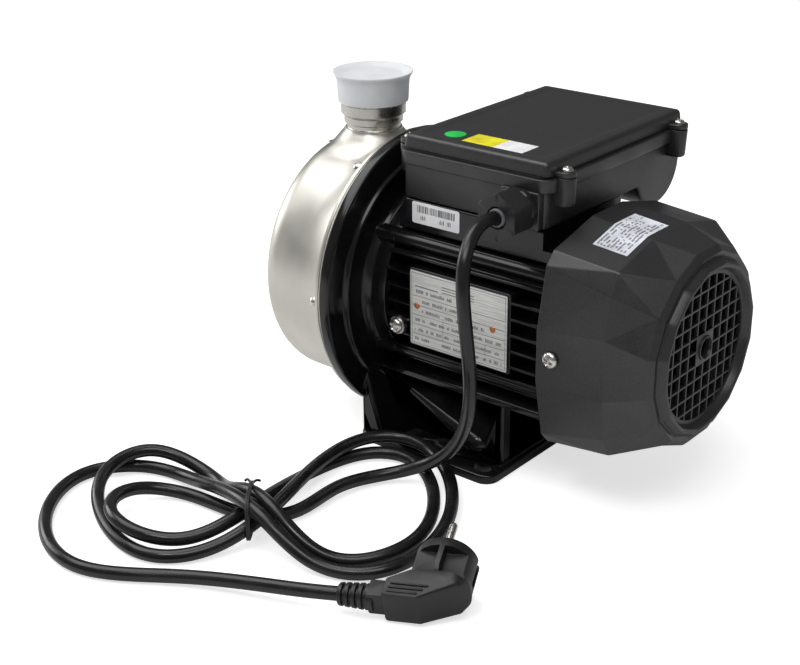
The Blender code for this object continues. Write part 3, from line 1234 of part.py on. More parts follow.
def make_terminal_box(still, plastic):
    section = box_section(0.0)
    top = COLLAR_BOTTOM + 0.001
    outline = section + [(section[-1][0], top), (BODY_Y[0], top)]
    box = prism("terminal_box", outline, BODY_X[0], BODY_X[1], plastic, still)
    collar = rounded_rectangle(COLLAR_X, COLLAR_Y, LID_CORNER + COLLAR_MARGIN)
    fuse(box, prism("box_collar", collar, COLLAR_BOTTOM, COLLAR_TOP, parent=still, axis="Z"))
    fuse(box, lid_lugs("box_lugs", COLLAR_TOP - LUG_DEPTH, COLLAR_TOP, still))
    pad = GLAND_NUT_HEX / 2 + 0.001
    fuse(box, block("gland_pad", (GLAND_X - pad, GLAND_X + pad), (gland_face(), BODY_Y[0] + 0.001),
                    (BOX_FLOOR + 0.0005, COLLAR_BOTTOM + 0.001), parent=still))
    inner = box_section(BOX_WALL)
    room = inner + [(inner[-1][0], COLLAR_TOP + 0.002), (inner[0][0], COLLAR_TOP + 0.002)]
    cut(box, prism("box_room", room, BODY_X[0] + BOX_WALL, BODY_X[1] - BOX_WALL, parent=still))
    cut(box, block("box_wire_hole", (WIRE_HOLE_X - WIRE_HOLE / 2, WIRE_HOLE_X + WIRE_HOLE / 2),
                   (-WIRE_HOLE / 2, WIRE_HOLE / 2), (BOX_FLOOR - 0.002, BOX_FLOOR + BOX_WALL + 0.002), parent=still))
    cut(box, holes("gland_hole", [(GLAND_X, GLAND_HEIGHT)], GLAND_THREAD_RADIUS + GAP, -gland_face() - 0.010,
                   -gland_face() + 0.003, still, axis="-Y", sides=FEW_SIDES))
    return cut(box, holes("lug_holes", lug_places(), 0.0018, COLLAR_TOP - LUG_DEPTH + 0.003, COLLAR_TOP + 0.002,
                          still, axis="Z"))


def gland_face():
    """Y of the flat on the box that the gland sits on, level with the collar."""
    return COLLAR_Y[0] - GLAND_PAD_HEIGHT


def lug_places():
    places = []
    for x in (LID_X[0] - LUG_REACH, LID_X[1] + LUG_REACH):
        for y in (LID_Y[0] + LUG_FROM_CORNER, LID_Y[1] - LUG_FROM_CORNER):
            places.append((x, y))
    return places


def lid_lugs(name, low, high, still):
    """Ears for the lid screws: a round end and a short bridge back to the box."""
    work = bmesh.new()
    for x, y in lug_places():
        outward = 0 if x > LID_X[1] else 180
        back = x - 0.008 if x > LID_X[1] else x + 0.008
        outline = arc((x, y), LUG_RADIUS, outward - 90, outward + 90, 6)
        last, first = outline[-1], outline[0]
        outline += [(back, last[1]), (back, first[1])]
        add_prism(work, outline, low, high, axis="Z")
    return place_mesh(name, work, parent=still)


def level_ring(margin, z):
    """The lid's outline shrunk by a margin, at one height."""
    x = (LID_X[0] + margin, LID_X[1] - margin)
    y = (LID_Y[0] + margin, LID_Y[1] - margin)
    outline = rounded_rectangle(x, y, max(LID_CORNER - margin, 0.001), 3)
    return [Vector((a, b, z)) for a, b in outline]


def make_lid(still, plastic):
    """Moulded lid: drafted sides, a rounded top edge and a hollow underside."""
    rings = [level_ring(0.0, LID_BOTTOM), level_ring(0.0004, LID_BOTTOM + 0.0018),
             level_ring(LID_DRAFT, LID_TOP - 0.0030), level_ring(LID_DRAFT + 0.0010, LID_TOP - 0.0010),
             level_ring(LID_DRAFT + 0.0032, LID_TOP)]
    hollow = [level_ring(LID_DRAFT + LID_WALL, LID_TOP - LID_WALL), level_ring(LID_WALL, LID_BOTTOM)]
    work = bmesh.new()
    made = [[work.verts.new(point) for point in ring] for ring in rings + hollow]
    count = len(made[0])
    top = len(rings) - 1
    work.faces.new(made[top])
    work.faces.new(made[top + 1])
    for index in range(len(made)):
        if index == top:
            continue
        ring, following = made[index], made[(index + 1) % len(made)]
        for k in range(count):
            other = (k + 1) % count
            work.faces.new((ring[k], ring[other], following[other], following[k]))
    lid = place_mesh("box_lid", work, plastic, still)
    ears = lid_lugs("lid_ears", LID_BOTTOM, LID_BOTTOM + LUG_EAR, still)
    cut(ears, prism("ear_trim", rounded_rectangle((LID_X[0] + LID_WALL / 2, LID_X[1] - LID_WALL / 2),
                                                  (LID_Y[0] + LID_WALL, LID_Y[1] - LID_WALL), LID_CORNER),
                    LID_BOTTOM - 0.002, LID_TOP, parent=still, axis="Z"))
    fuse(lid, ears)
    return cut(lid, holes("lid_screw_holes", lug_places(), 0.0022, LID_BOTTOM - 0.002, LID_TOP, still, axis="Z"))


def make_gasket(still, rubber):
    outer = level_ring(0.0005, COLLAR_TOP + GAP)
    inner = level_ring(0.0034, COLLAR_TOP + GAP)
    lift = Vector((0, 0, GASKET_THICKNESS))
    work = bmesh.new()
    add_loft(work, [outer, [p + lift for p in outer], [p + lift for p in inner], inner], close_ends=False)
    place_mesh("lid_gasket", work, rubber, still)


def make_lid_screws(still, nickel):
    work = bmesh.new()
    face = LID_BOTTOM + LUG_EAR + GAP
    add_pan_screw(work, face, face - 0.014, 0.0015, 0.0038, 0.0024, "Z", sides=9)
    place_copies("lid_screw", work, [(x, y, 0) for x, y in lug_places()], nickel, still)


def make_capacitor(still, plastic):
    """Run capacitor lying in the bulge, with two blade terminals at one end."""
    rest = BULGE_Z - (BULGE_RADIUS - BOX_WALL - CAPACITOR_RADIUS - GAP)
    start = BODY_X[0] + BOX_WALL + 0.003
    end = start + CAPACITOR_LENGTH
    radius = CAPACITOR_RADIUS
    outline = [(start, 0), (start, radius - 0.002), (start + 0.002, radius), (end - 0.002, radius),
               (end, radius - 0.001), (end, radius - 0.003), (end - 0.002, radius - 0.004), (end - 0.002, 0)]
    capacitor = turned("capacitor", outline, plastic, still, centre=(0, BULGE_Y, rest), sides=24)
    work = bmesh.new()
    for side in (1, -1):
        y = BULGE_Y + side * 0.006
        add_block(work, (end - 0.003, end + 0.006), (y - 0.0004, y + 0.0004), (rest - 0.003, rest + 0.003))
    return fuse(capacitor, place_mesh("capacitor_blades", work, parent=still, smooth=False))


def make_terminal_block(still, plastic):
    """Three-way strip on the box floor, stepped down at its wire side."""
    low = BOX_FLOOR + BOX_WALL + GAP
    y = (BODY_Y[0] + 0.006, BODY_Y[0] + 0.022)
    outline = [(y[0], low), (y[1], low), (y[1], low + 0.014), (y[0] + 0.008, low + 0.014),
               (y[0] + 0.008, low + 0.009), (y[0], low + 0.009)]
    strip = prism("terminal_block", outline, 0.010, 0.046, plastic, still)
    work = bmesh.new()
    for k in range(3):
        add_prism(work, polygon(0.0025, 12), y[0] + 0.010, y[0] + 0.020, axis="Z",
                  centre=(0.016 + 0.012 * k, y[0] + 0.012, low - y[0] - 0.002))
    return cut(strip, place_mesh("terminal_wells", work, parent=still))


# Cable gland

def make_gland(still, plastic, rubber):
    """Threaded body with a hexagon, the domed nut over it and the rubber bush inside."""
    place = (GLAND_X, 0, GLAND_HEIGHT)
    face = -gland_face() + GAP
    hex_end = face + GLAND_HEX_LENGTH
    nut_low = hex_end + GAP
    nut_high = nut_low + GLAND_NUT_LENGTH
    stub = GLAND_THREAD_RADIUS
    bore = CORD_RADIUS + 0.0022
    body_end = nut_low + 0.010
    body = turned("gland_body", [(face - 0.009, bore), (face - 0.009, stub), (face, stub), (face, stub + 0.0015),
                                 (hex_end, stub + 0.0015), (hex_end, stub), (body_end, stub), (body_end, bore)],
                  plastic, still, axis="-Y", centre=place, sides=16)
    flange = prism("gland_hexagon", hexagon(GLAND_HEX), face, hex_end, parent=still, axis="-Y", centre=place)
    cut(flange, turned("gland_hexagon_bore", [(face - 0.002, 0), (face - 0.002, stub - 0.001),
                                              (hex_end + 0.002, stub - 0.001), (hex_end + 0.002, 0)],
                       parent=still, axis="-Y", centre=place, sides=16))
    fuse(body, flange)
    make_gland_nut(still, plastic, place, nut_low, nut_high, body_end)
    seal_low = nut_low + 0.001
    seal_high = nut_high - 0.004
    turned("gland_seal", [(seal_low, 0), (seal_low, bore - GAP), (body_end + GAP, bore - GAP),
                          (seal_high, CORD_RADIUS + 0.001), (seal_high, 0)],
           rubber, still, axis="-Y", centre=place, sides=16)
    return nut_high, seal_high


def make_gland_nut(still, plastic, place, low, high, body_end):
    """Hexagon nut that narrows to a dome at the cable's exit."""
    corner = GLAND_NUT_HEX / sqrt(3)
    grip_end = high - GLAND_DOME_LENGTH
    exit_radius = CORD_RADIUS + 0.0006
    outer = [(low, corner), (grip_end, corner), (grip_end + 0.003, corner - 0.0045), (high, corner - 0.0075)]
    inner = [(high, exit_radius), (high - 0.0035, exit_radius), (body_end + 0.002, GLAND_THREAD_RADIUS + GAP),
             (low, GLAND_THREAD_RADIUS + GAP)]
    nut = turned("gland_nut", outer + inner, plastic, still, axis="-Y", centre=place, sides=FEW_SIDES)
    envelope = prism("gland_nut_flats", hexagon(GLAND_NUT_HEX, pi / 6), low - 0.001, high + 0.001,
                     parent=still, axis="-Y", centre=place)
    return combine(nut, envelope, "INTERSECT")


# Plates and small fasteners on the motor's side

def make_nameplate(still, metal):
    """Thin plate with its two rivets, which hold it on the housing's pad."""
    outline = rounded_rectangle(NAMEPLATE_X, (-NAMEPLATE_HALF_HEIGHT, NAMEPLATE_HALF_HEIGHT), 0.001, 2)
    front = PLATE_FACE + NAMEPLATE_THICKNESS
    plate = prism("nameplate", outline, PLATE_FACE, front, metal, still, axis="-Y")
    work = bmesh.new()
    for x, z in RIVET_PLACES:
        add_pan_screw(work, front - 0.0001, PLATE_FACE - 0.005, RIVET_SHANK, RIVET_RADIUS, 0.0011, "-Y",
                      centre=(x, 0, z), sides=12)
    fuse(plate, place_mesh("nameplate_rivets", work, parent=still))


def make_earth_screw(still, nickel):
    """Pan-head screw with its captive washer."""
    face = FIN_HALF_WIDTH + GAP
    washer = 0.0013
    place = (EARTH_SCREW_X, 0, EARTH_SCREW_Z)
    screw = turned("earth_screw", [(face, 0.0018), (face, EARTH_SCREW_RADIUS + 0.001),
                                   (face + washer, EARTH_SCREW_RADIUS + 0.001), (face + washer, 0.0018)],
                   nickel, still, axis="-Y", centre=place, sides=12)
    work = bmesh.new()
    add_pan_screw(work, face + washer - 0.0002, face - 0.006, 0.0020, EARTH_SCREW_RADIUS, 0.0038, "-Y",
                  centre=place, sides=12)
    fuse(screw, place_mesh("earth_screw_head", work, parent=still))


# Mains lead and its plug

def smooth_curve(route, steps):
    """Points of the natural cubic spline through the route, which bends evenly at its own points."""
    places = np.array(route, float)
    gaps = np.sqrt(np.linalg.norm(np.diff(places, axis=0), axis=1))
    count = len(places)
    system = np.eye(count)
    wanted = np.zeros((count, 3))
    for k in range(1, count - 1):
        before, after = gaps[k - 1], gaps[k]
        system[k, k - 1:k + 2] = before, 2 * (before + after), after
        wanted[k] = 6 * ((places[k + 1] - places[k]) / after - (places[k] - places[k - 1]) / before)
    bend = np.linalg.solve(system, wanted)
    points = []
    for k in range(count - 1):
        gap = gaps[k]
        for done in np.arange(steps) / steps * gap:
            left = gap - done
            points.append((bend[k] * left ** 3 + bend[k + 1] * done ** 3) / (6 * gap)
                          + (places[k] / gap - bend[k] * gap / 6) * left
                          + (places[k + 1] / gap - bend[k + 1] * gap / 6) * done)
    points.append(places[-1])
    return [Vector(point) for point in points]


def cord_points():
    """Fewest points that keep the tube's bends round: one at each set turn or length."""
    route = [[value / 1000 for value in place] for place in CORD_ROUTE]
    fine = smooth_curve(route, 16)
    chosen = [fine[0]]
    turn = 0.0
    for before, here, after in zip(fine, fine[1:], fine[2:]):
        turn += (here - before).angle(after - here)
        if turn > CORD_TURN or (here - chosen[-1]).length > CORD_STEP:
            chosen.append(here)
            turn = 0.0
    chosen.append(fine[-1])
    return chosen


def make_cord(rubber):
    curve = bpy.data.curves.new("cord", "CURVE")
    curve.dimensions = "3D"
    curve.bevel_depth = CORD_RADIUS
    curve.bevel_resolution = 2
    curve.use_fill_caps = True
    points = cord_points()
    spline = curve.splines.new("POLY")
    spline.points.add(len(points) - 1)
    for point, place in zip(spline.points, points):
        point.co = (*place, 1.0)
    curve.materials.append(rubber)
    cord = bpy.data.objects.new("cord", curve)
    bpy.context.collection.objects.link(cord)


def oval(half_width, half_height, squareness, count, centre=0.0):
    """Outline between an ellipse and a rectangle; a squareness of 2 is the ellipse."""
    points = []
    for k in range(count):
        angle = 2 * pi * (k + 0.5) / count
        across = abs(cos(angle)) ** (2 / squareness) * (1 if cos(angle) > 0 else -1)
        up = abs(sin(angle)) ** (2 / squareness) * (1 if sin(angle) > 0 else -1)
        points.append((centre + half_width * across, half_height * up))
    return points


def make_cord_tie(plastic):
    """Wire closed round the bundle where the loops cross."""
    rings = []
    path = [Vector((0, across, up)) / 1000 for across, up in CORD_TIE_OUTLINE]
    middle = Vector((0, -0.002, 0.017))
    for place in path:
        outward = (place - middle).normalized()
        rings.append([place + outward * up + Vector((across, 0, 0))
                      for across, up in polygon(CORD_TIE_WIRE, 6)])
    work = bmesh.new()
    add_loft(work, rings, close_ends=False)
    tie = place_mesh("cord_tie", work, plastic)
    tie.location = CORD_TIE_PLACE
    tie.rotation_euler = (0, 0, CORD_TIE_ANGLE)


def make_plug(rubber, nickel):
    """Moulded body with a slotted boot at the cable's end and an insert that carries the pins."""
    place = anchor("plug_place", Vector(CORD_ROUTE[-1]) / 1000)
    place.rotation_euler = (PLUG_ROLL, -PLUG_SLOPE, PLUG_YAW)
    work = bmesh.new()
    rings = []
    for depth, centre, half_length, half_height, squareness in PLUG_RINGS:
        rings.append([(a, depth, b) for a, b in oval(half_length, half_height, squareness, 24, centre)])
    add_loft(work, rings)
    body = place_mesh("plug_body", work, rubber, place)
    collar_x, collar_y, collar_z = PLUG_COLLAR
    fuse(body, block("plug_collar", collar_x, collar_y, collar_z, parent=place))
    fuse(body, turned("plug_boot", boot_outline(), parent=place, sides=12))
    half_line, half_width, depth = PLUG_INSERT
    pocket = oval(half_width, half_line, 3, 16)
    cut(body, prism("plug_pocket", pocket, -PLUG_FACE - 0.001, depth - PLUG_FACE, parent=place, axis="-Y",
                    centre=(PLUG_DISC_X, 0, 0)))
    insert = prism("plug_contacts", oval(half_width - GAP, half_line - GAP, 3, 16), -PLUG_FACE,
                   depth - PLUG_FACE - GAP, nickel, place, axis="-Y", centre=(PLUG_DISC_X, 0, 0))
    work = bmesh.new()
    low = -PLUG_FACE - PIN_LENGTH
    for side in (-1, 1):
        add_turned(work, [(low, 0), (low, PIN_RADIUS - 0.0009), (low + 0.0015, PIN_RADIUS),
                          (0.002 - PLUG_FACE, PIN_RADIUS), (0.002 - PLUG_FACE, 0)],
                   axis="-Y", centre=(PLUG_DISC_X, 0, side * PIN_SPACING / 2), sides=12)
    fuse(insert, place_mesh("plug_pins", work, parent=place))


def boot_outline():
    """The boot widens a little towards the plug, with slots round it that let it bend."""
    outline = [(GAP, 0), (GAP, PLUG_BOOT_RADIUS - 0.0016), (0.0012, PLUG_BOOT_RADIUS - 0.0006)]
    pitch = 0.0040
    for k in range(PLUG_BOOT_SLOTS):
        start = 0.0036 + pitch * k
        radius = PLUG_BOOT_RADIUS - 0.0004 + 0.0003 * k
        outline += [(start, radius), (start, radius - 0.0020), (start + 0.0016, radius - 0.0020),
                    (start + 0.0016, radius)]
    end = PLUG_BOOT_LENGTH + 0.002
    return outline + [(end, PLUG_BOOT_RADIUS + 0.0006), (end, 0)]


def build():
    clear_scene()
    still = anchor("pump_axis", (0, 0, SHAFT_HEIGHT))
    rotor = anchor("rotor_axis", (0, 0, SHAFT_HEIGHT))
    steel = finish("stainless", (0.62, 0.60, 0.56), 0.32, 1.0)
    bright = finish("bright_steel", (0.70, 0.70, 0.70), 0.22, 1.0)
    nickel = finish("nickel", (0.72, 0.70, 0.66), 0.25, 1.0)
    paint = finish("gloss_black_paint", (0.02, 0.02, 0.022), 0.25)
    plastic = finish("black_plastic", (0.035, 0.035, 0.037), 0.55)
    rubber = finish("black_rubber", (0.02, 0.02, 0.02), 0.7)
    clear = finish("cap_plastic", (0.85, 0.86, 0.88), 0.4)
    ceramic = finish("ceramic", (0.85, 0.83, 0.78), 0.3)
    carbon = finish("carbon", (0.06, 0.06, 0.06), 0.4)
    iron = finish("laminated_iron", (0.30, 0.30, 0.32), 0.5, 1.0)
    copper = finish("copper", (0.72, 0.38, 0.22), 0.35, 1.0)
    grey = finish("grey_plastic", (0.55, 0.56, 0.58), 0.5)
    plate = finish("plate_aluminium", (0.78, 0.78, 0.76), 0.4, 0.6)

    make_casing(still, steel)
    make_plugs(still, nickel)
    make_suction_socket(still, steel)
    make_suction_guide(still, steel)
    make_discharge_socket(still, steel)
    make_cap(clear)
    make_casing_cover(still, steel)
    make_o_ring(still, rubber)
    make_casing_bolts(still, nickel)

    make_impeller(rotor, steel)
    make_impeller_nut(rotor, bright)
    make_seal(still, rotor, ceramic, carbon, bright)
    make_shaft(rotor, bright)
    make_slinger(rotor, rubber)
    make_bearing("front_bearing", FRONT_BEARING_X, still, rotor, bright)
    make_bearing("rear_bearing", REAR_BEARING_X, still, rotor, bright)

    make_bracket(still, paint)
    make_housing(still, paint)
    make_stator(still, iron, copper)
    make_rotor_core(rotor, iron)
    make_tie_bolts(still, nickel)
    make_rear_shield(still, paint)
    make_fan(rotor, plastic)
    make_fan_cover(still, plastic)
    make_cover_screws(still, nickel)

    make_terminal_box(still, plastic)
    make_lid(still, plastic)
    make_gasket(still, rubber)
    make_lid_screws(still, nickel)
    make_capacitor(still, grey)
    make_terminal_block(still, grey)
    make_gland(still, plastic, rubber)
    make_nameplate(still, plate)
    make_earth_screw(still, nickel)

    make_cord(rubber)
    make_cord_tie(plastic)
    make_plug(rubber, nickel)


build()
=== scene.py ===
# Chemical pump on a pale studio floor: the finish of every piece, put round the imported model.
# Metres throughout. +X runs along the shaft to the fan, +Z is up, -Y is the side with the nameplate.
import json
from math import cos, pi, radians, sin, sqrt

import bmesh
import bpy
import numpy as np
from mathutils import Euler, Matrix, Vector


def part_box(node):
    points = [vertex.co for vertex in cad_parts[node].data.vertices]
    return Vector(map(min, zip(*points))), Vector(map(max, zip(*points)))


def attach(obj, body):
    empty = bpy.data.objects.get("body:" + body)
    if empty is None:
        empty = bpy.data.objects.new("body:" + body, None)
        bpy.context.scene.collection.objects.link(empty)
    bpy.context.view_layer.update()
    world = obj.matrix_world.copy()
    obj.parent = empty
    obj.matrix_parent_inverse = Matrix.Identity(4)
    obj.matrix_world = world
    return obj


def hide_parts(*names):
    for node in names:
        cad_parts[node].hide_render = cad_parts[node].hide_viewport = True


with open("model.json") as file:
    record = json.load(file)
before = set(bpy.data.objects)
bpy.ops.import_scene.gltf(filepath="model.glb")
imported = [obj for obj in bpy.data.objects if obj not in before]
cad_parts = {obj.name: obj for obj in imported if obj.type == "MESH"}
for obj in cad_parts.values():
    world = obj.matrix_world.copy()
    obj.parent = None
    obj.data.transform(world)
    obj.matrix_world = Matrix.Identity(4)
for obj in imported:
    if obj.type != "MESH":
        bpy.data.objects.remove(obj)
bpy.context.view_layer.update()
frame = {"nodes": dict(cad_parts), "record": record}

mm = 0.001


def spanOf(node):
    low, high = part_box(node)
    return np.array(low), np.array(high)


shaftLow, shaftHigh = spanOf("shaft")
shaftHeight = (shaftLow[2] + shaftHigh[2]) / 2
shaftLine = (0, 0, shaftHeight)


# Surfaces. A sheet is a grid of points with two notes: whether its rows and its columns are closed.

def unitRows(vectors):
    return vectors / np.maximum(np.linalg.norm(vectors, axis=-1, keepdims=True), 1e-12)


def softened(corners, reach, steps=6, closed=True):
    # Each corner p becomes the arc (1-s)^2 a + 2s(1-s) p + s^2 b; a and b lie its reach before and after p
    corners = np.asarray(corners, float)
    reach = np.broadcast_to(np.asarray(reach, float), len(corners))[:, None]
    before = np.roll(corners, 1, axis=0) - corners
    after = np.roll(corners, -1, axis=0) - corners
    room = 0.49 * np.minimum(np.linalg.norm(before, axis=1), np.linalg.norm(after, axis=1))[:, None]
    reach = np.minimum(reach, room)
    start = corners + unitRows(before) * reach
    end = corners + unitRows(after) * reach
    if not closed:
        start[[0, -1]] = end[[0, -1]] = corners[[0, -1]]
    s = np.linspace(0, 1, steps)[None, :, None]
    arcs = (1 - s) ** 2 * start[:, None] + 2 * s * (1 - s) * corners[:, None] + s ** 2 * end[:, None]
    points = arcs.reshape(-1, corners.shape[1])
    apart = np.linalg.norm(points - np.roll(points, 1, axis=0), axis=1) > 1e-6
    apart[0] = apart[0] or not closed
    return points[apart]


def inset(outline, margin):
    # Closed outline moved inwards by a margin along the mean normal of the two sides at each point
    ahead = unitRows(np.roll(outline, -1, axis=0) - outline)
    behind = unitRows(outline - np.roll(outline, 1, axis=0))
    normal = np.stack([-(ahead + behind)[:, 1], (ahead + behind)[:, 0]], 1) / 2
    normal /= np.maximum((normal ** 2).sum(1, keepdims=True), 0.2)
    area = np.sum(outline[:, 0] * np.roll(outline[:, 1], -1) - np.roll(outline[:, 0], -1) * outline[:, 1])
    return outline + normal * margin * (1 if area > 0 else -1)


def roundedRectangle(x, y, radius, steps=8):
    corners = [(x[1], y[1]), (x[0], y[1]), (x[0], y[0]), (x[1], y[0])]
    middles = np.array([(x[1] - radius, y[1] - radius), (x[0] + radius, y[1] - radius),
                        (x[0] + radius, y[0] + radius), (x[1] - radius, y[0] + radius)])
    turn = np.linspace(0, pi / 2, steps)[None] + np.arange(len(corners))[:, None] * pi / 2
    arcs = middles[:, None] + radius * np.stack([np.cos(turn), np.sin(turn)], -1)
    return arcs.reshape(-1, 2)


def laid(along, across, up, axis):
    # The local triple (along, across, up) set out along a named axis of the pump
    along, across, up = np.broadcast_arrays(along, across, up)
    order = {"X": (along, across, up), "-X": (-along, across, up), "Y": (across, along, up),
             "-Y": (across, -along, up), "Z": (across, up, along), "-Z": (across, up, -along)}
    return np.stack(order[axis], -1)


def turned(profile, sides=96, axis="X", centre=shaftLine, closed=True):
    # Turned shape: point (a, r) goes to a along the axis and to r cos t, r sin t across it
    profile = np.asarray(profile, float)
    t = np.linspace(0, 2 * pi, sides, endpoint=False)[None]
    a, r = profile[:, :1], profile[:, 1:]
    return laid(a, r * np.cos(t), r * np.sin(t), axis) + np.array(centre), closed, True


def hexTurned(profile, flats, sides=96, axis="X", centre=shaftLine, turn=0.0, rows=None):
    # Turned shape cut to a hexagon: the smaller of r and (flats/2) / cos(angle to the nearest flat)
    profile = np.asarray(profile, float)
    t = np.linspace(0, 2 * pi, sides, endpoint=False)[None]
    flat = flats / 2 / np.cos((t + turn) % (pi / 3) - pi / 6)
    r = np.minimum(profile[:, 1:], flat)
    if rows is not None:
        r = np.where(np.asarray(rows)[:, None], r, profile[:, 1:])
    return laid(profile[:, :1], r * np.cos(t), r * np.sin(t), axis) + np.array(centre), False, True


def threadRows(low, high, radius, pitch, depth, sides, perTurn=8):
    # Screw thread: r = radius + depth * triangle(a / pitch - t / 2 pi), with a depth that fades at both ends
    a = np.linspace(low, high, int(abs(high - low) / pitch * perTurn))[:, None]
    t = np.linspace(0, 2 * pi, sides, endpoint=False)[None]
    phase = (a / pitch - t / (2 * pi)) % 1.0
    fade = np.clip(np.minimum(np.abs(a - low), np.abs(high - a)) / pitch, 0, 1)
    return a + 0 * t, radius + depth * fade * (1 - np.abs(2 * phase - 1))


def crossHead(face, radius, height, arm, axis, centre, turn=0.4, rows=30, sides=72):
    # Domed head a = h (1 - (r/R)^2.6)^0.5, less a cross whose two arms get shallower towards their ends
    r = radius * np.sin(np.linspace(0, pi / 2, rows))[:, None]
    t = np.linspace(0, 2 * pi, sides, endpoint=False)[None] + turn
    dome = height * np.sqrt(np.maximum(1 - (r / radius) ** 2.6, 0))
    x, y = r * np.cos(t), r * np.sin(t)
    reach = 0.62 * radius
    first, second = [np.clip((arm - np.abs(q)) / (0.35 * arm), 0, 1)
                     * np.clip((reach - np.abs(p)) / (0.2 * reach), 0, 1)
                     for p, q in ((x, y), (y, x))]
    a = face + dome - 0.75 * height * np.maximum(first, second) * (1 - 0.45 * r / reach)
    a = np.concatenate([a, a[-1:] * 0 + face])
    r = np.concatenate([r, r[:1] * 0])
    return laid(a, r * np.cos(t - turn), r * np.sin(t - turn), axis) + np.array(centre), False, True


def stacked(rings, closed=False):
    # Loft through rings of equal count; the open ends are closed by meshOf
    return np.asarray(rings, float), closed, True


def softPlate(outline, low, high, edge, axis="Z", centre=(0, 0, 0), steps=5, draft=0.0, bottomEdge=None):
    # Plate with rounded edges: the outline moves in by e (1 - cos v) while the height goes by e (1 - sin v)
    bottom = edge if bottomEdge is None else bottomEdge
    v = np.linspace(pi / 2, 0, steps)
    margin = np.concatenate([bottom * (1 - np.cos(v)) + draft, edge * (1 - np.cos(v[::-1]))])
    height = np.concatenate([low + bottom * (1 - np.sin(v)), high - edge * (1 - np.sin(v[::-1]))])
    rings = [laid(h, ring[:, 0], ring[:, 1], axis) for m, h in zip(margin, height)
             for ring in [inset(outline, m)]]
    return stacked(np.array(rings) + np.array(centre))


def splineThrough(places, step):
    # Natural cubic spline whose parameter runs by the root of the distance, read off at equal steps
    gap = np.sqrt(np.linalg.norm(np.diff(places, axis=0), axis=1))
    count = len(places)
    inner = np.arange(1, count - 1)
    system = np.eye(count)
    system[inner, inner - 1] = gap[:-1]
    system[inner, inner] = 2 * (gap[:-1] + gap[1:])
    system[inner, inner + 1] = gap[1:]
    slope = np.diff(places, axis=0) / gap[:, None]
    wanted = np.zeros_like(places)
    wanted[1:-1] = 6 * np.diff(slope, axis=0)
    bend = np.linalg.solve(system, wanted)
    done = (np.arange(40) / 40)[None, :, None] * gap[:, None, None]
    left = gap[:, None, None] - done
    g = gap[:, None, None]
    fine = ((bend[:-1, None] * left ** 3 + bend[1:, None] * done ** 3) / (6 * g)
            + (places[:-1, None] / g - bend[:-1, None] * g / 6) * left
            + (places[1:, None] / g - bend[1:, None] * g / 6) * done).reshape(-1, 3)
    fine = np.concatenate([fine, places[-1:]])
    run = np.concatenate([[0], np.cumsum(np.linalg.norm(np.diff(fine, axis=0), axis=1))])
    even = np.linspace(0, run[-1], int(run[-1] / step) + 1)
    return np.stack([np.interp(even, run, fine[:, k]) for k in range(3)], 1), run[-1]


def turningFrame(path):
    # A level direction that turns as little as it can, found by carrying it from point to point
    tangent = unitRows(np.gradient(path, axis=0))
    level = np.zeros_like(tangent)
    level[0] = unitRows(np.cross((0, 0, 1.0), tangent[0]))
    for k in range(1, len(path)):
        level[k] = unitRows(level[k - 1] - tangent[k] * level[k - 1].dot(tangent[k]))
    return tangent, level, np.cross(tangent, level)


def tubeAlong(path, radius, sides):
    # Round tube: path + r (cos t level + sin t over), where r may change along the path
    tangent, level, over = turningFrame(path)
    t = np.linspace(0, 2 * pi, sides, endpoint=False)
    radius = np.broadcast_to(radius, len(path))[:, None, None]
    rings = path[:, None] + radius * (np.cos(t)[None, :, None] * level[:, None]
                                      + np.sin(t)[None, :, None] * over[:, None])
    return stacked(rings)


def gridFaces(rows, columns, closedRows, closedColumns):
    # Quads (r, c), (r+1, c), (r+1, c+1), (r, c+1), wrapped where a side is closed
    r = np.arange(rows if closedRows else rows - 1)[:, None]
    c = np.arange(columns if closedColumns else columns - 1)[None]
    below, beside = (r + 1) % rows, (c + 1) % columns
    quad = [r * columns + c, below * columns + c, below * columns + beside, r * columns + beside]
    return np.stack(np.broadcast_arrays(*quad), -1).reshape(-1, 4)


def meshOf(name, sheets, sharp=32, weld=True):
    points, faces, start = [], [], 0
    for grid, closedRows, closedColumns in sheets:
        rows, columns = grid.shape[:2]
        points.append(grid.reshape(-1, 3))
        faces += (gridFaces(rows, columns, closedRows, closedColumns) + start).tolist()
        if closedColumns and not closedRows:
            first = np.arange(columns) + start
            faces += [first[::-1].tolist(), (first + (rows - 1) * columns).tolist()]
        start += rows * columns
    mesh = bpy.data.meshes.new(name)
    mesh.from_pydata(np.concatenate(points), [], faces)
    if weld:
        tidy(mesh)
    mesh.shade_smooth()
    mesh.set_sharp_from_angle(angle=radians(sharp))
    return mesh


def tidy(mesh):
    work = bmesh.new()
    work.from_mesh(mesh)
    bmesh.ops.remove_doubles(work, verts=work.verts, dist=1e-6)
    bmesh.ops.dissolve_degenerate(work, dist=1e-7, edges=work.edges)
    bmesh.ops.recalc_face_normals(work, faces=work.faces)
    work.to_mesh(mesh)
    work.free()


def addPiece(name, mesh, body, material, replaced=()):
    piece = bpy.data.objects.new(name, mesh)
    bpy.context.scene.collection.objects.link(piece)
    mesh.materials.clear()
    mesh.materials.append(material)
    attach(piece, body)
    if replaced:
        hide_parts(*replaced)
    return piece


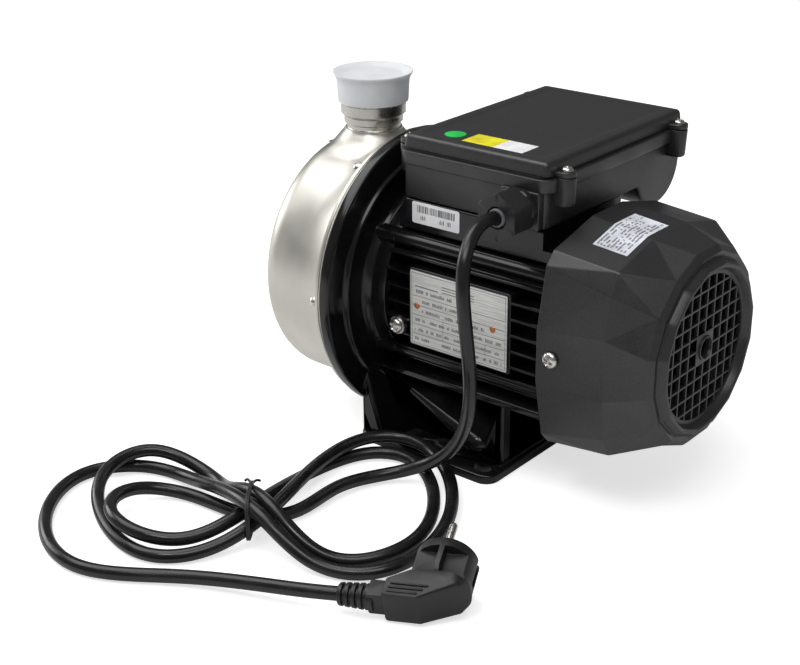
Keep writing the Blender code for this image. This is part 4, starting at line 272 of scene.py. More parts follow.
def carved(mesh, cutters, sharp=32):
    # The mesh less the cutters' sheets, by an exact boolean that is applied at once
    scene = bpy.context.scene.collection
    blank = bpy.data.objects.new("blank", mesh)
    tool = bpy.data.objects.new("tool", meshOf("tool", cutters))
    scene.objects.link(blank)
    scene.objects.link(tool)
    step = blank.modifiers.new("cut", "BOOLEAN")
    step.object = tool
    step.operation = "DIFFERENCE"
    step.solver = "EXACT"
    step.use_self = True
    result = bpy.data.meshes.new_from_object(blank.evaluated_get(bpy.context.evaluated_depsgraph_get()))
    for leftover in (blank, tool):
        bpy.data.objects.remove(leftover, do_unlink=True)
    result.shade_smooth()
    result.set_sharp_from_angle(angle=radians(sharp))
    return result


# Finishes

def addNode(material, kind, settings=None, **inputs):
    node = material.node_tree.nodes.new("ShaderNode" + kind)
    for key, value in (settings or {}).items():
        setattr(node, key, value)
    for key, value in inputs.items():
        socket = node.inputs[int(key[1:])] if key[0] == "n" and key[1:].isdigit() else node.inputs[key]
        if isinstance(value, bpy.types.NodeSocket):
            material.node_tree.links.new(value, socket)
        else:
            socket.default_value = value
    return node


def placed(material, stretch=(1, 1, 1), shift=(0, 0, 0)):
    where = addNode(material, "TexCoord")
    return addNode(material, "Mapping", Vector=where.outputs["Object"], Scale=stretch,
                   Location=shift).outputs[0]


def grain(material, scale, stretch=(1, 1, 1), detail=3.0, roughness=0.5):
    noise = addNode(material, "TexNoise", Vector=placed(material, stretch), Scale=scale, Detail=detail,
                    Roughness=roughness)
    return noise.outputs["Fac"]


def spread(material, factor, low, high, fromLow=0.3, fromHigh=0.7):
    return addNode(material, "MapRange", n0=factor, n1=fromLow, n2=fromHigh, n3=low, n4=high).outputs[0]


def between(material, factor, first, second, start=0.35, end=0.65):
    ramp = addNode(material, "ValToRGB", Fac=factor)
    for stop, place, colour in zip(ramp.color_ramp.elements, (start, end), (first, second)):
        stop.position = place
        stop.color = (*colour, 1)
    return ramp.outputs["Color"]


def raised(material, height, strength, distance, under=None):
    settings = {"Height": height, "Strength": strength, "Distance": distance}
    if under is not None:
        settings["Normal"] = under
    return addNode(material, "Bump", **settings).outputs[0]


def finish(name, colour, roughness, metallic=0.0, **constants):
    material = bpy.data.materials.new(name)
    material.use_nodes = True
    shader = material.node_tree.nodes["Principled BSDF"]
    shader.inputs["Base Color"].default_value = (*colour, 1)
    shader.inputs["Roughness"].default_value = roughness
    shader.inputs["Metallic"].default_value = metallic
    for key, value in constants.items():
        shader.inputs[key.replace("_", " ")].default_value = value
    return material


def feed(material, **sources):
    shader = material.node_tree.nodes["Principled BSDF"]
    for key, source in sources.items():
        material.node_tree.links.new(source, shader.inputs[key.replace("_", " ")])
    return material


def tint(colour, share):
    return tuple(min(1.0, value * share) for value in colour)


def pressedSteel(look):
    # Satin sheet: streaks round the drum from noise drawn out across X, over a fine grain
    steel = finish("pressedSteel", look["colour"], look["roughness"], 1.0)
    streak = grain(steel, 1.0, (look["streakScale"], 14, 14), 4.0, 0.6)
    cloud = grain(steel, look["cloudScale"], (1, 1, 1), 3.0)
    speck = grain(steel, look["grainScale"], (1, 1, 1), 2.0)
    colour = between(steel, cloud, tint(look["colour"], 0.90), tint(look["colour"], 1.04))
    bump = raised(steel, streak, 0.18, 0.00004)
    bump = raised(steel, speck, 0.25, 0.00003, bump)
    return feed(steel, Base_Color=colour, Normal=bump,
                Roughness=spread(steel, cloud, look["roughness"] - 0.05, look["roughness"] + 0.07))


def turnedSteel(look):
    steel = finish("turnedSteel", look["colour"], look["roughness"], 1.0)
    ring = grain(steel, 1.0, (look["ringScale"], 30, look["ringScale"]), 2.0)
    stain = grain(steel, 180.0)
    colour = between(steel, stain, tint(look["colour"], 0.93), tint(look["colour"], 1.04))
    return feed(steel, Base_Color=colour, Normal=raised(steel, ring, 0.2, 0.00004),
                Roughness=spread(steel, stain, look["roughness"] - 0.06, look["roughness"] + 0.1))


def platedNickel(look):
    nickel = finish("platedNickel", look["colour"], look["roughness"], 1.0)
    stain = grain(nickel, 420.0)
    return feed(nickel, Base_Color=between(nickel, stain, tint(look["colour"], 0.78), look["colour"]),
                Normal=raised(nickel, grain(nickel, 1600.0), 0.12, 0.00003),
                Roughness=spread(nickel, stain, look["roughness"] - 0.05, look["roughness"] + 0.12))


def glossPaint(look):
    # Sprayed enamel over a casting: a slow ripple, a fine orange peel and a few dull patches
    paint = finish("glossPaint", look["colour"], look["roughness"], 0.0, Coat_Weight=0.15,
                   Coat_Roughness=0.06, Specular_IOR_Level=0.4)
    ripple = grain(paint, look["rippleScale"], detail=2.0)
    peel = grain(paint, look["peelScale"], detail=2.0)
    bump = raised(paint, ripple, 0.35, 0.0006)
    bump = raised(paint, peel, 0.3, 0.00005, bump)
    return feed(paint, Base_Color=between(paint, ripple, look["colour"], tint(look["colour"], 1.5)),
                Normal=bump, Roughness=spread(paint, ripple, look["roughness"] - 0.03,
                                              look["roughness"] + 0.1))


def mouldedPlastic(name, look):
    # Eroded mould texture: small pits from a cell pattern and a noise, with a slow change of roughness; the
    # raised grain is tinted paler, a painted sparkle of fine highlights
    plastic = finish(name, look["colour"], look["roughness"], 0.0, Specular_IOR_Level=look["specular"])
    pit = grain(plastic, look["pitScale"], detail=2.0, roughness=0.6)
    cloud = grain(plastic, look["cloudScale"], detail=3.0)
    # The raised grain is tinted paler here: a painted sparkle of fine highlights
    pale = tint(look["colour"], look["paintedSparkle"])
    return feed(plastic, Base_Color=between(plastic, pit, look["colour"], pale, 0.42, 0.72),
                Normal=raised(plastic, pit, look["bump"], look["pitDepth"]),
                Roughness=spread(plastic, cloud, look["roughness"] - 0.06, look["roughness"] + 0.08))


def softRubber(name, look):
    rubber = finish(name, look["colour"], look["roughness"], 0.0)
    cloud = grain(rubber, look["cloudScale"], detail=3.0)
    bump = raised(rubber, grain(rubber, look["pitScale"], detail=2.0), 0.2, 0.00004)
    return feed(rubber, Base_Color=between(rubber, cloud, look["colour"], tint(look["colour"], 1.5)),
                Normal=bump, Roughness=spread(rubber, cloud, look["roughness"] - 0.06,
                                              look["roughness"] + 0.1))


def milkyPlastic(look):
    milky = finish("milkyPlastic", look["colour"], look["roughness"], 0.0, Subsurface_Weight=look["depth"],
                   Subsurface_Radius=(0.004, 0.004, 0.004), Subsurface_Scale=1.0)
    cloud = grain(milky, 90.0)
    return feed(milky, Base_Color=between(milky, cloud, tint(look["colour"], 0.95), look["colour"]),
                Normal=raised(milky, grain(milky, 500.0), 0.15, 0.00005),
                Roughness=spread(milky, cloud, look["roughness"] - 0.05, look["roughness"] + 0.1))


def plainMetal(name, look):
    metal = finish(name, look["colour"], look["roughness"], look["metallic"])
    stain = grain(metal, look["grainScale"], look.get("stretch", (1, 1, 1)))
    return feed(metal, Base_Color=between(metal, stain, tint(look["colour"], 0.75),
                                          tint(look["colour"], 1.1)),
                Normal=raised(metal, stain, 0.2, 0.00005),
                Roughness=spread(metal, stain, look["roughness"] - 0.08, look["roughness"] + 0.12))


looks = {
    "stainless": {"colour": (0.66, 0.645, 0.59), "roughness": 0.37, "streakScale": 1800.0,
                  "cloudScale": 26.0, "grainScale": 1500.0},
    "bright": {"colour": (0.56, 0.545, 0.51), "roughness": 0.27, "ringScale": 1500.0},
    "nickel": {"colour": (0.78, 0.76, 0.72), "roughness": 0.22},
    "paint": {"colour": (0.0045, 0.0045, 0.0052), "roughness": 0.15, "rippleScale": 38.0,
              "peelScale": 900.0},
    "box": {"colour": (0.0125, 0.0125, 0.014), "roughness": 0.38, "specular": 0.75, "pitScale": 1300.0,
            "cloudScale": 30.0, "paintedSparkle": 2.4, "bump": 0.6, "pitDepth": 0.00010},
    "gland": {"colour": (0.014, 0.014, 0.015), "roughness": 0.36, "specular": 0.5, "pitScale": 900.0,
              "cloudScale": 60.0, "paintedSparkle": 1.5, "bump": 0.25, "pitDepth": 0.00006},
    "grey": {"colour": (0.30, 0.31, 0.33), "roughness": 0.5, "specular": 0.5, "pitScale": 900.0,
             "cloudScale": 60.0, "paintedSparkle": 1.1, "bump": 0.2, "pitDepth": 0.00006},
    "rubber": {"colour": (0.020, 0.020, 0.021), "roughness": 0.6, "cloudScale": 120.0, "pitScale": 1400.0},
    "bush": {"colour": (0.11, 0.11, 0.12), "roughness": 0.55, "cloudScale": 120.0, "pitScale": 1400.0},
    "sheath": {"colour": (0.008, 0.008, 0.009), "roughness": 0.24, "cloudScale": 60.0, "pitScale": 1100.0},
    "plug": {"colour": (0.010, 0.010, 0.011), "roughness": 0.42, "specular": 0.5, "pitScale": 1200.0,
             "cloudScale": 60.0, "paintedSparkle": 1.8, "bump": 0.3, "pitDepth": 0.00006},
    "tie": {"colour": (0.016, 0.016, 0.017), "roughness": 0.4, "cloudScale": 120.0, "pitScale": 1400.0},
    "cap": {"colour": (0.82, 0.84, 0.87), "roughness": 0.42, "depth": 0.35},
    "ceramic": {"colour": (0.80, 0.76, 0.68), "roughness": 0.25, "metallic": 0.0, "grainScale": 300.0},
    "carbon": {"colour": (0.035, 0.035, 0.037), "roughness": 0.4, "metallic": 0.2, "grainScale": 500.0},
    "iron": {"colour": (0.32, 0.31, 0.30), "roughness": 0.45, "metallic": 0.9, "grainScale": 1.0,
             "stretch": (3000, 60, 60)},
    "copper": {"colour": (0.62, 0.25, 0.11), "roughness": 0.34, "metallic": 0.9, "grainScale": 500.0},
    "plate": {"colour": (0.78, 0.775, 0.755), "roughness": 0.40, "metallic": 0.35, "grainScale": 1.0,
              "stretch": (60, 60, 2600)},
    "ink": {"colour": (0.035, 0.035, 0.04), "roughness": 0.5, "cloudScale": 300.0, "pitScale": 1400.0},
    "white": {"colour": (0.84, 0.84, 0.87), "roughness": 0.45, "cloudScale": 60.0, "pitScale": 900.0},
    "yellow": {"colour": (0.72, 0.62, 0.010), "roughness": 0.4, "cloudScale": 60.0, "pitScale": 900.0},
    "green": {"colour": (0.010, 0.46, 0.07), "roughness": 0.4, "cloudScale": 60.0, "pitScale": 900.0},
    "silver": {"colour": (0.60, 0.62, 0.67), "roughness": 0.38, "cloudScale": 60.0, "pitScale": 900.0},
}

steelSheet = pressedSteel(looks["stainless"])
steelTurned = turnedSteel(looks["bright"])
nickelPlate = platedNickel(looks["nickel"])
blackPaint = glossPaint(looks["paint"])
boxPlastic = mouldedPlastic("boxPlastic", looks["box"])
glandPlastic = mouldedPlastic("glandPlastic", looks["gland"])
greyPlastic = mouldedPlastic("greyPlastic", looks["grey"])
blackRubber = softRubber("blackRubber", looks["rubber"])
greyRubber = softRubber("greyRubber", looks["bush"])
leadSheath = softRubber("leadSheath", looks["sheath"])
plugPlastic = mouldedPlastic("plugPlastic", looks["plug"])
tiePlastic = softRubber("tiePlastic", looks["tie"])
capPlastic = milkyPlastic(looks["cap"])
ceramicSeat = plainMetal("ceramicSeat", looks["ceramic"])
carbonFace = plainMetal("carbonFace", looks["carbon"])
sheetIron = plainMetal("sheetIron", looks["iron"])
copperWire = plainMetal("copperWire", looks["copper"])
plateMetal = plainMetal("plateMetal", looks["plate"])
printInk = softRubber("printInk", looks["ink"])
whiteFilm, yellowFilm, greenFilm, silverFilm = [softRubber(name + "Film", looks[name])
                                                for name in ("white", "yellow", "green", "silver")]
finishOfSlot = {
    "stainless": steelSheet, "bright_steel": steelTurned, "nickel": nickelPlate, "black_paint": blackPaint,
    "black_plastic": boxPlastic, "gland_plastic": glandPlastic, "black_rubber": blackRubber,
    "cap_plastic": capPlastic, "ceramic": ceramicSeat, "carbon": carbonFace, "iron": sheetIron,
    "copper": copperWire, "plate": plateMetal, "grey_plastic": greyPlastic, "lead_sheath": leadSheath,
    "plug_pins": nickelPlate, "tie_plastic": tiePlastic}
print("finishes made:", len(finishOfSlot))


# Camera, taken from the photograph's perspective for a picture of 800 x 665

camera = {"place": (0.5649, -0.7522, 0.4797), "aim": (-0.0234, -0.0433, 0.0779), "roll": radians(-0.6),
          "focal": 1465.0, "width": 800, "sensor": 36.0}


def addCamera(choice):
    lens = bpy.data.cameras.new("camera")
    lens.sensor_fit = "HORIZONTAL"
    lens.sensor_width = choice["sensor"]
    lens.lens = choice["focal"] / choice["width"] * choice["sensor"]
    lens.clip_start = 0.01
    holder = bpy.data.objects.new("camera", lens)
    towards = Vector(choice["aim"]) - Vector(choice["place"])
    turn = towards.to_track_quat("-Z", "Y").to_matrix().to_4x4() @ Matrix.Rotation(choice["roll"], 4, "Z")
    holder.matrix_world = Matrix.Translation(Vector(choice["place"])) @ turn
    bpy.context.scene.collection.objects.link(holder)
    bpy.context.scene.camera = holder


addCamera(camera)


# Mains lead with its plug and its tie

lead = {
    "radius": 4.3 * mm, "sides": 20, "step": 3.0 * mm,
    "route": (
        (78, -70.4, 190.5), (78, -90, 190.5), (83, -112, 175), (89, -118, 135), (88, -112, 89),
        (56, -92, 32), (20, -98, 8), (1, -135, 7), (-1, -176, 6), (-22, -198, 6.5), (-70, -202, 5),
        (-95, -222, 10), (-92, -247, 14), (-64, -264, 15), (-26, -248, 11), (-12, -202, 18), (-28, -137, 6),
        (-16, -88, 5.5), (17, -77, 5), (68, -124, 5), (78, -175, 6), (48, -204, 7), (-2, -203, 27.5),
        (-44, -190, 14), (-78, -177, 6.5), (-119, -187, 15), (-128, -219, 13), (-100, -252, 7),
        (-40, -268, 5), (-10, -241, 7), (-1, -199, 17), (-21, -135, 14), (-18, -84, 15), (16, -67, 13),
        (80, -121, 8), (87, -192, 6), (50, -215, 8), (5, -217, 28), (-79, -190, 8), (-121, -194, 5),
        (-146, -227, 5), (-119, -280, 5), (-60, -302, 5), (0, -271, 6), (65, -245.2, 10.9),
        (88, -235, 12.2)),
}
leadRoute = np.array(lead["route"]) * mm
leadPath, leadLength = splineThrough(leadRoute, lead["step"])
leadMesh = meshOf("lead", [tubeAlong(leadPath, lead["radius"], lead["sides"])], sharp=60)
mainsLead = addPiece("mainsLead", leadMesh, "root", leadSheath, ["cord"])
print("lead:", round(leadLength, 3), "m")

plug = {"yaw": radians(24), "slope": radians(3), "roll": radians(14), "face": 34.5, "discX": 57,
        # depth, middle, half length, half height and corner radius of each ring of the body
        "rings": ((-7.0, 39.5, 10.3, 10.2, 1.2), (-6.7, 39.5, 10.9, 10.8, 1.8),
                  (-5.8, 39.7, 11.6, 11.3, 2.2), (5.0, 49.5, 21.6, 12.8, 4.5),
                  (10.5, 56.0, 19.2, 17.0, 13.5), (13.5, 57.0, 18.4, 18.4, 18.3),
                  (32.6, 57.0, 18.4, 18.4, 18.3), (33.9, 57.0, 18.0, 18.0, 17.9),
                  (34.5, 57.0, 17.0, 17.0, 16.9)),
        "insert": (15.0, 5.2, 6.0), "pinSpacing": 19, "pinRadius": 2.4, "pinLength": 19}
plugTurn = np.array(Euler((plug["roll"], -plug["slope"], plug["yaw"])).to_matrix())


def bodyRing(depth, middle, halfLength, halfHeight, corner):
    x, z = (middle - halfLength, middle + halfLength), (-halfHeight, halfHeight)
    ring = roundedRectangle(x, z, corner, 13)
    return np.stack([ring[:, 0], np.full(len(ring), depth), ring[:, 1]], 1) * mm


def block(x, y, z, corner, steps=5):
    # Soft box between three pairs of limits, rounded in its plan and along its edges
    ring = roundedRectangle(np.array(x) * mm, np.array(z) * mm, corner * mm, steps)
    return softPlate(ring, y[0] * mm, y[1] * mm, 0.35 * mm, "Y")


def bootSheet():
    # Boot whose profile steps in and out four times
    rows = [(0.3, 5.2), (1.4, 6.6)]
    for k in range(4):
        start, radius = 3.4 + 4.1 * k, 6.9 + 0.25 * k
        rows += [(start, radius), (start + 0.1, radius - 2.2), (start + 1.6, radius - 2.2),
                 (start + 1.7, radius)]
    rows = np.array([(0.3, 0)] + rows + [(22, 7.6), (22, 0)]) * mm
    return turned(softened(rows, 0.3 * mm, 4, closed=False), 48, "X", (0, 0, 0), False)


def plugBodyMesh():
    p = plug
    rings = np.array([bodyRing(*ring) for ring in p["rings"]])
    sheets = [stacked(rings), bootSheet(), block((18.5, 31), (-5.6, 6.6), (-7.6, 7.6), 1.4)]
    for y in (-5.2, -2.5, 0.2):
        s = (y + 7) / 12
        top = 10.6 + 2.0 * s
        sheets.append(block((30.5 + 3 * s, 47 + 12 * s), (y, y + 1.2), (top - 1.5, top + 1.3), 0.5, 3))
    cutters = []
    for up in (1, -1):
        for low, high in ((40.0, 55.4), (58.2, 73.0)):
            z = sorted((up * 11.6, up * 22))
            cutters.append(block((low, high), (9.6, 27.6), z, 1.0, 4))
    cutters.append(block((72.6, 80), (14, 40), (-2.9, 2.9), 0.6, 3))
    pocket = [bodyRing(depth, p["discX"], 5.6, 15.4, 5.5) for depth in (p["face"] - 6, p["face"] + 2)]
    cutters.append(stacked(pocket))
    mesh = carved(meshOf("plugBody", sheets), cutters, 30)
    return placedMesh(mesh)


def placedMesh(mesh):
    place = Matrix(plugTurn.tolist()).to_4x4()
    place.translation = Vector(leadRoute[-1])
    mesh.transform(place)
    return mesh


def plugInsertMesh():
    p = plug
    rings = [bodyRing(depth, p["discX"], p["insert"][1] - m, p["insert"][0] - m, 5.0 - m)
             for depth, m in ((p["face"] - 6.1, 0.0), (p["face"] - 0.6, 0.0), (p["face"] - 0.2, 0.4))]
    return placedMesh(meshOf("plugInsert", [stacked(rings)]))


def plugPinsMesh():
    p = plug
    face, radius, length = p["face"], p["pinRadius"], p["pinLength"]
    rows = [(face - 5, 0), (face - 5, radius), (face + length - 1.6, radius),
            (face + length - 0.4, radius - 0.7), (face + length, radius - 1.6), (face + length, 0)]
    rows = softened(np.array(rows) * mm, 0.5 * mm, 5, False)
    pins = [turned(rows, 32, "Y", (p["discX"] * mm, 0, side * p["pinSpacing"] / 2 * mm), False)
            for side in (-1, 1)]
    return placedMesh(meshOf("plugPins", pins))


plugBody = addPiece("plugBody", plugBodyMesh(), "root", plugPlastic, ["plug_body"])
plugInsert = addPiece("plugInsert", plugInsertMesh(), "root", glandPlastic)
plugPins = addPiece("plugPins", plugPinsMesh(), "root", nickelPlate, ["plug_contacts"])

tie = {"place": (-11.5, -204.3, 0), "turn": radians(40), "wire": 0.85,
       # across and up round the bundle, starting and ending with the twisted ends
       "loop": ((8.6, 0.9), (11.6, 0.9), (15.2, 1.5), (17.6, 3.4), (18.2, 6.5), (17.6, 23.8), (15.3, 27.2),
                (11, 30.1), (5, 32.2), (-11, 33.9), (-15, 33.7), (-19.4, 32.2), (-22.2, 29.6),
                (-23.4, 26.5), (-22.8, 10.6), (-20.8, 7.8)),
       "start": ((4.6, 20.4, 25.4), (3.2, 19.0, 26.6), (1.9, 17.2, 27.2)),
       "end": ((-1.9, 17.2, 27.3), (-3.3, 19.0, 27.4), (-4.8, 19.6, 26.0)), "gap": 1.1}


def tieMesh():
    # Wire twice round the bundle: its place along the lead drifts from +gap to -gap while it goes round
    t = tie
    loop = np.array(t["loop"])
    once = np.concatenate([loop[6:], loop[:6]])
    twice = np.concatenate([once, once, once[:1]])
    drift = np.linspace(t["gap"], -t["gap"], len(twice))
    path = np.concatenate([t["start"], np.column_stack([drift, twice]), t["end"]])
    fine = splineThrough(path * mm, 1.0 * mm)[0]
    turn = np.array(Matrix.Rotation(t["turn"], 3, "Z"))
    return meshOf("cordTie", [tubeAlong(fine @ turn.T + np.array(t["place"]) * mm, t["wire"] * mm, 10)], 60)


tiePiece = addPiece("cordTie", tieMesh(), "root", tiePlastic, ["cord_tie"])
print("lead, plug and tie done")


# Pump end

pump = {"corner": 15, "wall": 2, "rimRadius": 98, "drumRadius": 87.5, "rimThickness": 3,
        "bossHeight": 2.5, "bossRadius": 10.5, "plugCircle": 70, "holeRadius": 22.5, "boltCircle": 93.2,
        "portX": -81, "portBore": 17.5}
pump = {key: value * mm for key, value in pump.items()}
casingLow, casingHigh = spanOf("casing")
rimRear = casingHigh[0]
rimFront = rimRear - pump["rimThickness"]
casingFront = casingLow[0] + pump["bossHeight"]


def casingSheets():
    wall, drum = pump["wall"], pump["drumRadius"]
    corners = [(rimRear, pump["rimRadius"]), (rimFront, pump["rimRadius"]), (rimFront, drum + 5.2 * mm),
               (rimFront - 2.6 * mm, drum + 2.0 * mm), (rimFront - 15 * mm, drum), (casingFront, drum),
               (casingFront, pump["holeRadius"]), (casingFront + wall, pump["holeRadius"]),
               (casingFront + wall, drum - wall), (rimRear, drum - wall)]
    reach = np.array([0.6, 0.8, 1.5, 3.6, 6.0, 15, 0.5, 0.5, 13, 0.2]) * mm
    sheets = [turned(softened(corners, reach, 10), 160)]
    for side in (1, -1):
        front = casingFront - pump["bossHeight"]
        rows = [(front, 0), (front, pump["bossRadius"]),
                (casingFront + 1.5 * mm, pump["bossRadius"] + 1 * mm), (casingFront + 1.5 * mm, 0)]
        sheets.append(turned(softened(rows, 0.8 * mm, 5, False), 64, "X",
                             (0, 0, shaftHeight + side * pump["plugCircle"]), False))
    sheets.append(stacked(neckRowsOf(flareRows, 128), True))
    return sheets


def drumHeight(x, y, grow=0.0):
    # Height of the drum's skin above the shaft at (x, y), its round front corner included
    corner = pump["corner"] + grow
    into = np.clip(casingFront - grow + corner - x, 0, corner)
    radius = pump["drumRadius"] + grow - corner + np.sqrt(corner ** 2 - into ** 2)
    return np.sqrt(np.maximum(radius ** 2 - y ** 2, 0))


# Rows of the drawn flare and of the neck: share of the drum's own height, lift, radius
flareRows = ((1, -1.6, 36), (1, -0.1, 35.5), (1, 0.3, 33), (1, 0.9, 30), (1, 2.2, 27), (1, 4.0, 24.6),
             (0.7, 3.8, 22.6), (0.35, 3.2, 21.2), (0, 94.3, 20.2), (0, 95.6, 19.9), (0, 95.9, 19.4),
             (0, 95.9, 18.0), (1, -2.6, 18.0))
neckRows = ((0, 92.0, 19.0), (0, 95.4, 19.1), (0, 96.0, 19.0), (0, 96.4, 18.7), (0, 98.9, 18.7),
            (0, 99.4, 19.2), (0, 99.7, 20.1), (0, 100.1, 20.4), (0, 104.1, 20.4), (0, 104.7, 20.8),
            (0, 105.8, 22.1), (0, 106.2, 22.5), (0, 112.8, 22.5), (0, 113.0, 22.3), (0, 113.2, 22.3),
            (0, 113.4, 22.5), (0, 129.0, 22.5), (0, 129.7, 22.2), (0, 130.0, 21.6), (0, 130.0, 20.4),
            (0, 129.8, 20.0), (0, 128.8, 19.3))
neckFoot = ((0, 105.8, 19.2), (0, 105.0, 17.6), (0, 100.0, 17.5), (0, 92.0, 17.5))


def neckRowsOf(table, sides):
    # Points round the port's axis; near the rim and the front they are held on the drum
    t = np.linspace(0, 2 * pi, sides, endpoint=False)[None]
    share, lift, radius = [column[:, None] for column in np.array(table, float).T]
    x = np.clip(pump["portX"] + radius * mm * np.cos(t), casingFront + 1.5 * mm, rimFront - 1.5 * mm)
    y = radius * mm * np.sin(t)
    own = np.where(share > 0, 92.5, 0) * mm * (1 - share)
    return np.stack([x, y, share * drumHeight(x, y) + own + lift * mm + shaftHeight], -1)


def neckSheet(sides=128):
    t = np.linspace(0, 2 * pi, sides, endpoint=False)[None]
    height, radius = threadRows(128.6 * mm, 106.0 * mm, 18.6 * mm, 2.31 * mm, 1.0 * mm, sides)
    thread = np.stack([pump["portX"] + radius * np.cos(t), radius * np.sin(t), height + shaftHeight], -1)
    return stacked(np.concatenate([neckRowsOf(neckRows, sides), thread, neckRowsOf(neckFoot, sides)]), True)


casingMesh = carved(meshOf("pumpCasing", casingSheets()), [
    turned([(60 * mm, 0), (60 * mm, pump["portBore"]), (120 * mm, pump["portBore"]), (120 * mm, 0)], 64,
           "Z", (pump["portX"], 0, shaftHeight), False)])
addPiece("pumpCasing", casingMesh, "root", steelSheet, ["casing"])
addPiece("dischargeNeck", meshOf("dischargeNeck", [neckSheet()]), "root", steelTurned,
         ["discharge_socket"])


def coverSheet():
    low, high = spanOf("casing_cover")
    face, wall = low[0], 2.0 * mm
    corners = [(face, 97.8 * mm), (face, 13.2 * mm), (high[0] - wall, 13.2 * mm), (high[0] - wall, 8 * mm),
               (high[0], 8 * mm), (high[0], 15.2 * mm), (face + wall, 15.2 * mm), (face + wall, 97.8 * mm)]
    return turned(softened(corners, 0.5 * mm, 4), 160)


addPiece("backCover", meshOf("backCover", [coverSheet()]), "root", steelSheet,
         ["casing_cover"])

cap = {"bottom": 113.9, "top": 134.8, "inside": 22.8, "web": 130.3, "wall": 1.8, "rim": 27.7}


def capSheet():
    c = cap
    corners = [(c["bottom"], c["inside"]), (c["bottom"], 24.3), (c["top"] - 8.5, 25.0),
               (c["top"] - 4.5, 25.5), (c["top"] - 0.9, 27.7), (c["top"], 27.7), (c["top"] - 0.2, 26.6),
               (c["web"] + 2.6, 22.5), (c["web"] + c["wall"], 20.5), (c["web"] + c["wall"], 0),
               (c["web"], 0), (c["web"], c["inside"])]
    reach = np.array([0.3, 0.6, 2, 2, 0.4, 0.3, 1.2, 2.0, 1.5, 0, 0, 0.8]) * mm
    return turned(softened(np.array(corners) * mm, reach, 6), 128, "Z", (pump["portX"], 0, shaftHeight))


addPiece("dustCap", meshOf("dustCap", [capSheet()], 50), "cap", capPlastic,
         ["discharge_cap"])


def suctionSheet(sides=96):
    low, high = spanOf("suction_socket")
    face, end, inner = low[0], casingFront - 0.3 * mm, high[0]
    outside = softened([(inner, 19.5 * mm), (inner, 22.2 * mm), (end, 22.2 * mm), (end, 24.5 * mm),
                        (face, 24.5 * mm), (face, 20.4 * mm)],
                       [0.2 * mm, 0.2 * mm, 0.2 * mm, 0.4 * mm, 1.5 * mm, 0.4 * mm], 5, False)
    grid = turned(outside, sides, closed=False)[0]
    along, radius = threadRows(face + 0.8 * mm, inner - 1.0 * mm, 18.9 * mm, 2.31 * mm, 1.0 * mm, sides)
    t = np.linspace(0, 2 * pi, sides, endpoint=False)[None]
    thread = laid(along, radius * np.cos(t), radius * np.sin(t), "X") + np.array(shaftLine)
    return stacked(np.concatenate([grid, thread]), True)


addPiece("suctionSocket", meshOf("suctionSocket", [suctionSheet()]), "root", steelTurned,
         ["suction_socket"])


def plugSheets(height):
    # Hexagon head with a chamfer, its flange washer and the short thread in the boss
    face = casingFront - pump["bossHeight"] - 0.3 * mm
    place = (0, 0, height)
    head = [(face, 0), (face, 9.4), (-1.4, 9.5), (-1.5, 9.3), (-1.5, 9.0), (-5.4, 10.2), (-6.5, 8.4),
            (-6.5, 0)]
    rows = np.array([(face + (a * mm if k > 1 else 0), r * mm) for k, (a, r) in enumerate(head)])
    hexed = np.array([False, False, False, False, True, True, True, True])
    stem = [(face + 8 * mm, 0), (face + 8 * mm, 5.2 * mm), (face + 7 * mm, 6.2 * mm),
            (face - 0.2 * mm, 6.2 * mm), (face - 0.2 * mm, 0)]
    return [hexTurned(rows, 17 * mm, 96, "X", place, rows=hexed), turned(stem, 48, "X", place, False)]


for name, side in (("priming_plug", 1), ("drain_plug", -1)):
    place = shaftHeight + side * pump["plugCircle"]
    addPiece(name.replace("_p", "P"), meshOf(name, plugSheets(place)), "root", steelTurned,
             [name])

casingBolt = {"head": 4.2 * mm, "height": 5.0 * mm, "socket": 4.0 * mm, "stem": 2.2 * mm, "end": 10.6 * mm}


def casingBoltSheet(angle):
    b = casingBolt
    face = rimFront - 0.3 * mm
    top = face - b["height"]
    place = (0, pump["boltCircle"] * cos(angle), shaftHeight + pump["boltCircle"] * sin(angle))
    rows = [(face + b["end"], 0), (face + b["end"], b["stem"]), (face, b["stem"]),
            (face, b["head"] - 0.2 * mm), (face - 0.3 * mm, b["head"]), (top + 0.7 * mm, b["head"]),
            (top + 0.2 * mm, b["head"] - 0.3 * mm), (top, b["head"] - 0.7 * mm), (top, 2.7 * mm),
            (top + 0.2 * mm, 2.35 * mm), (top + 2.5 * mm, 2.35 * mm), (top + 2.7 * mm, 0)]
    return hexTurned(rows, b["socket"], 48, "X", place, rows=[False] * 9 + [True] * 3)


for k in range(6):
    low, high = spanOf(f"casing_bolt_{k + 1}")
    angle = np.arctan2((low[2] + high[2]) / 2 - shaftHeight, (low[1] + high[1]) / 2)
    addPiece(f"casingBolt{k + 1}", meshOf("casingBolt", [casingBoltSheet(angle)], 40), "root",
             nickelPlate, [f"casing_bolt_{k + 1}"])
print("pump end done")


# Bracket with its foot

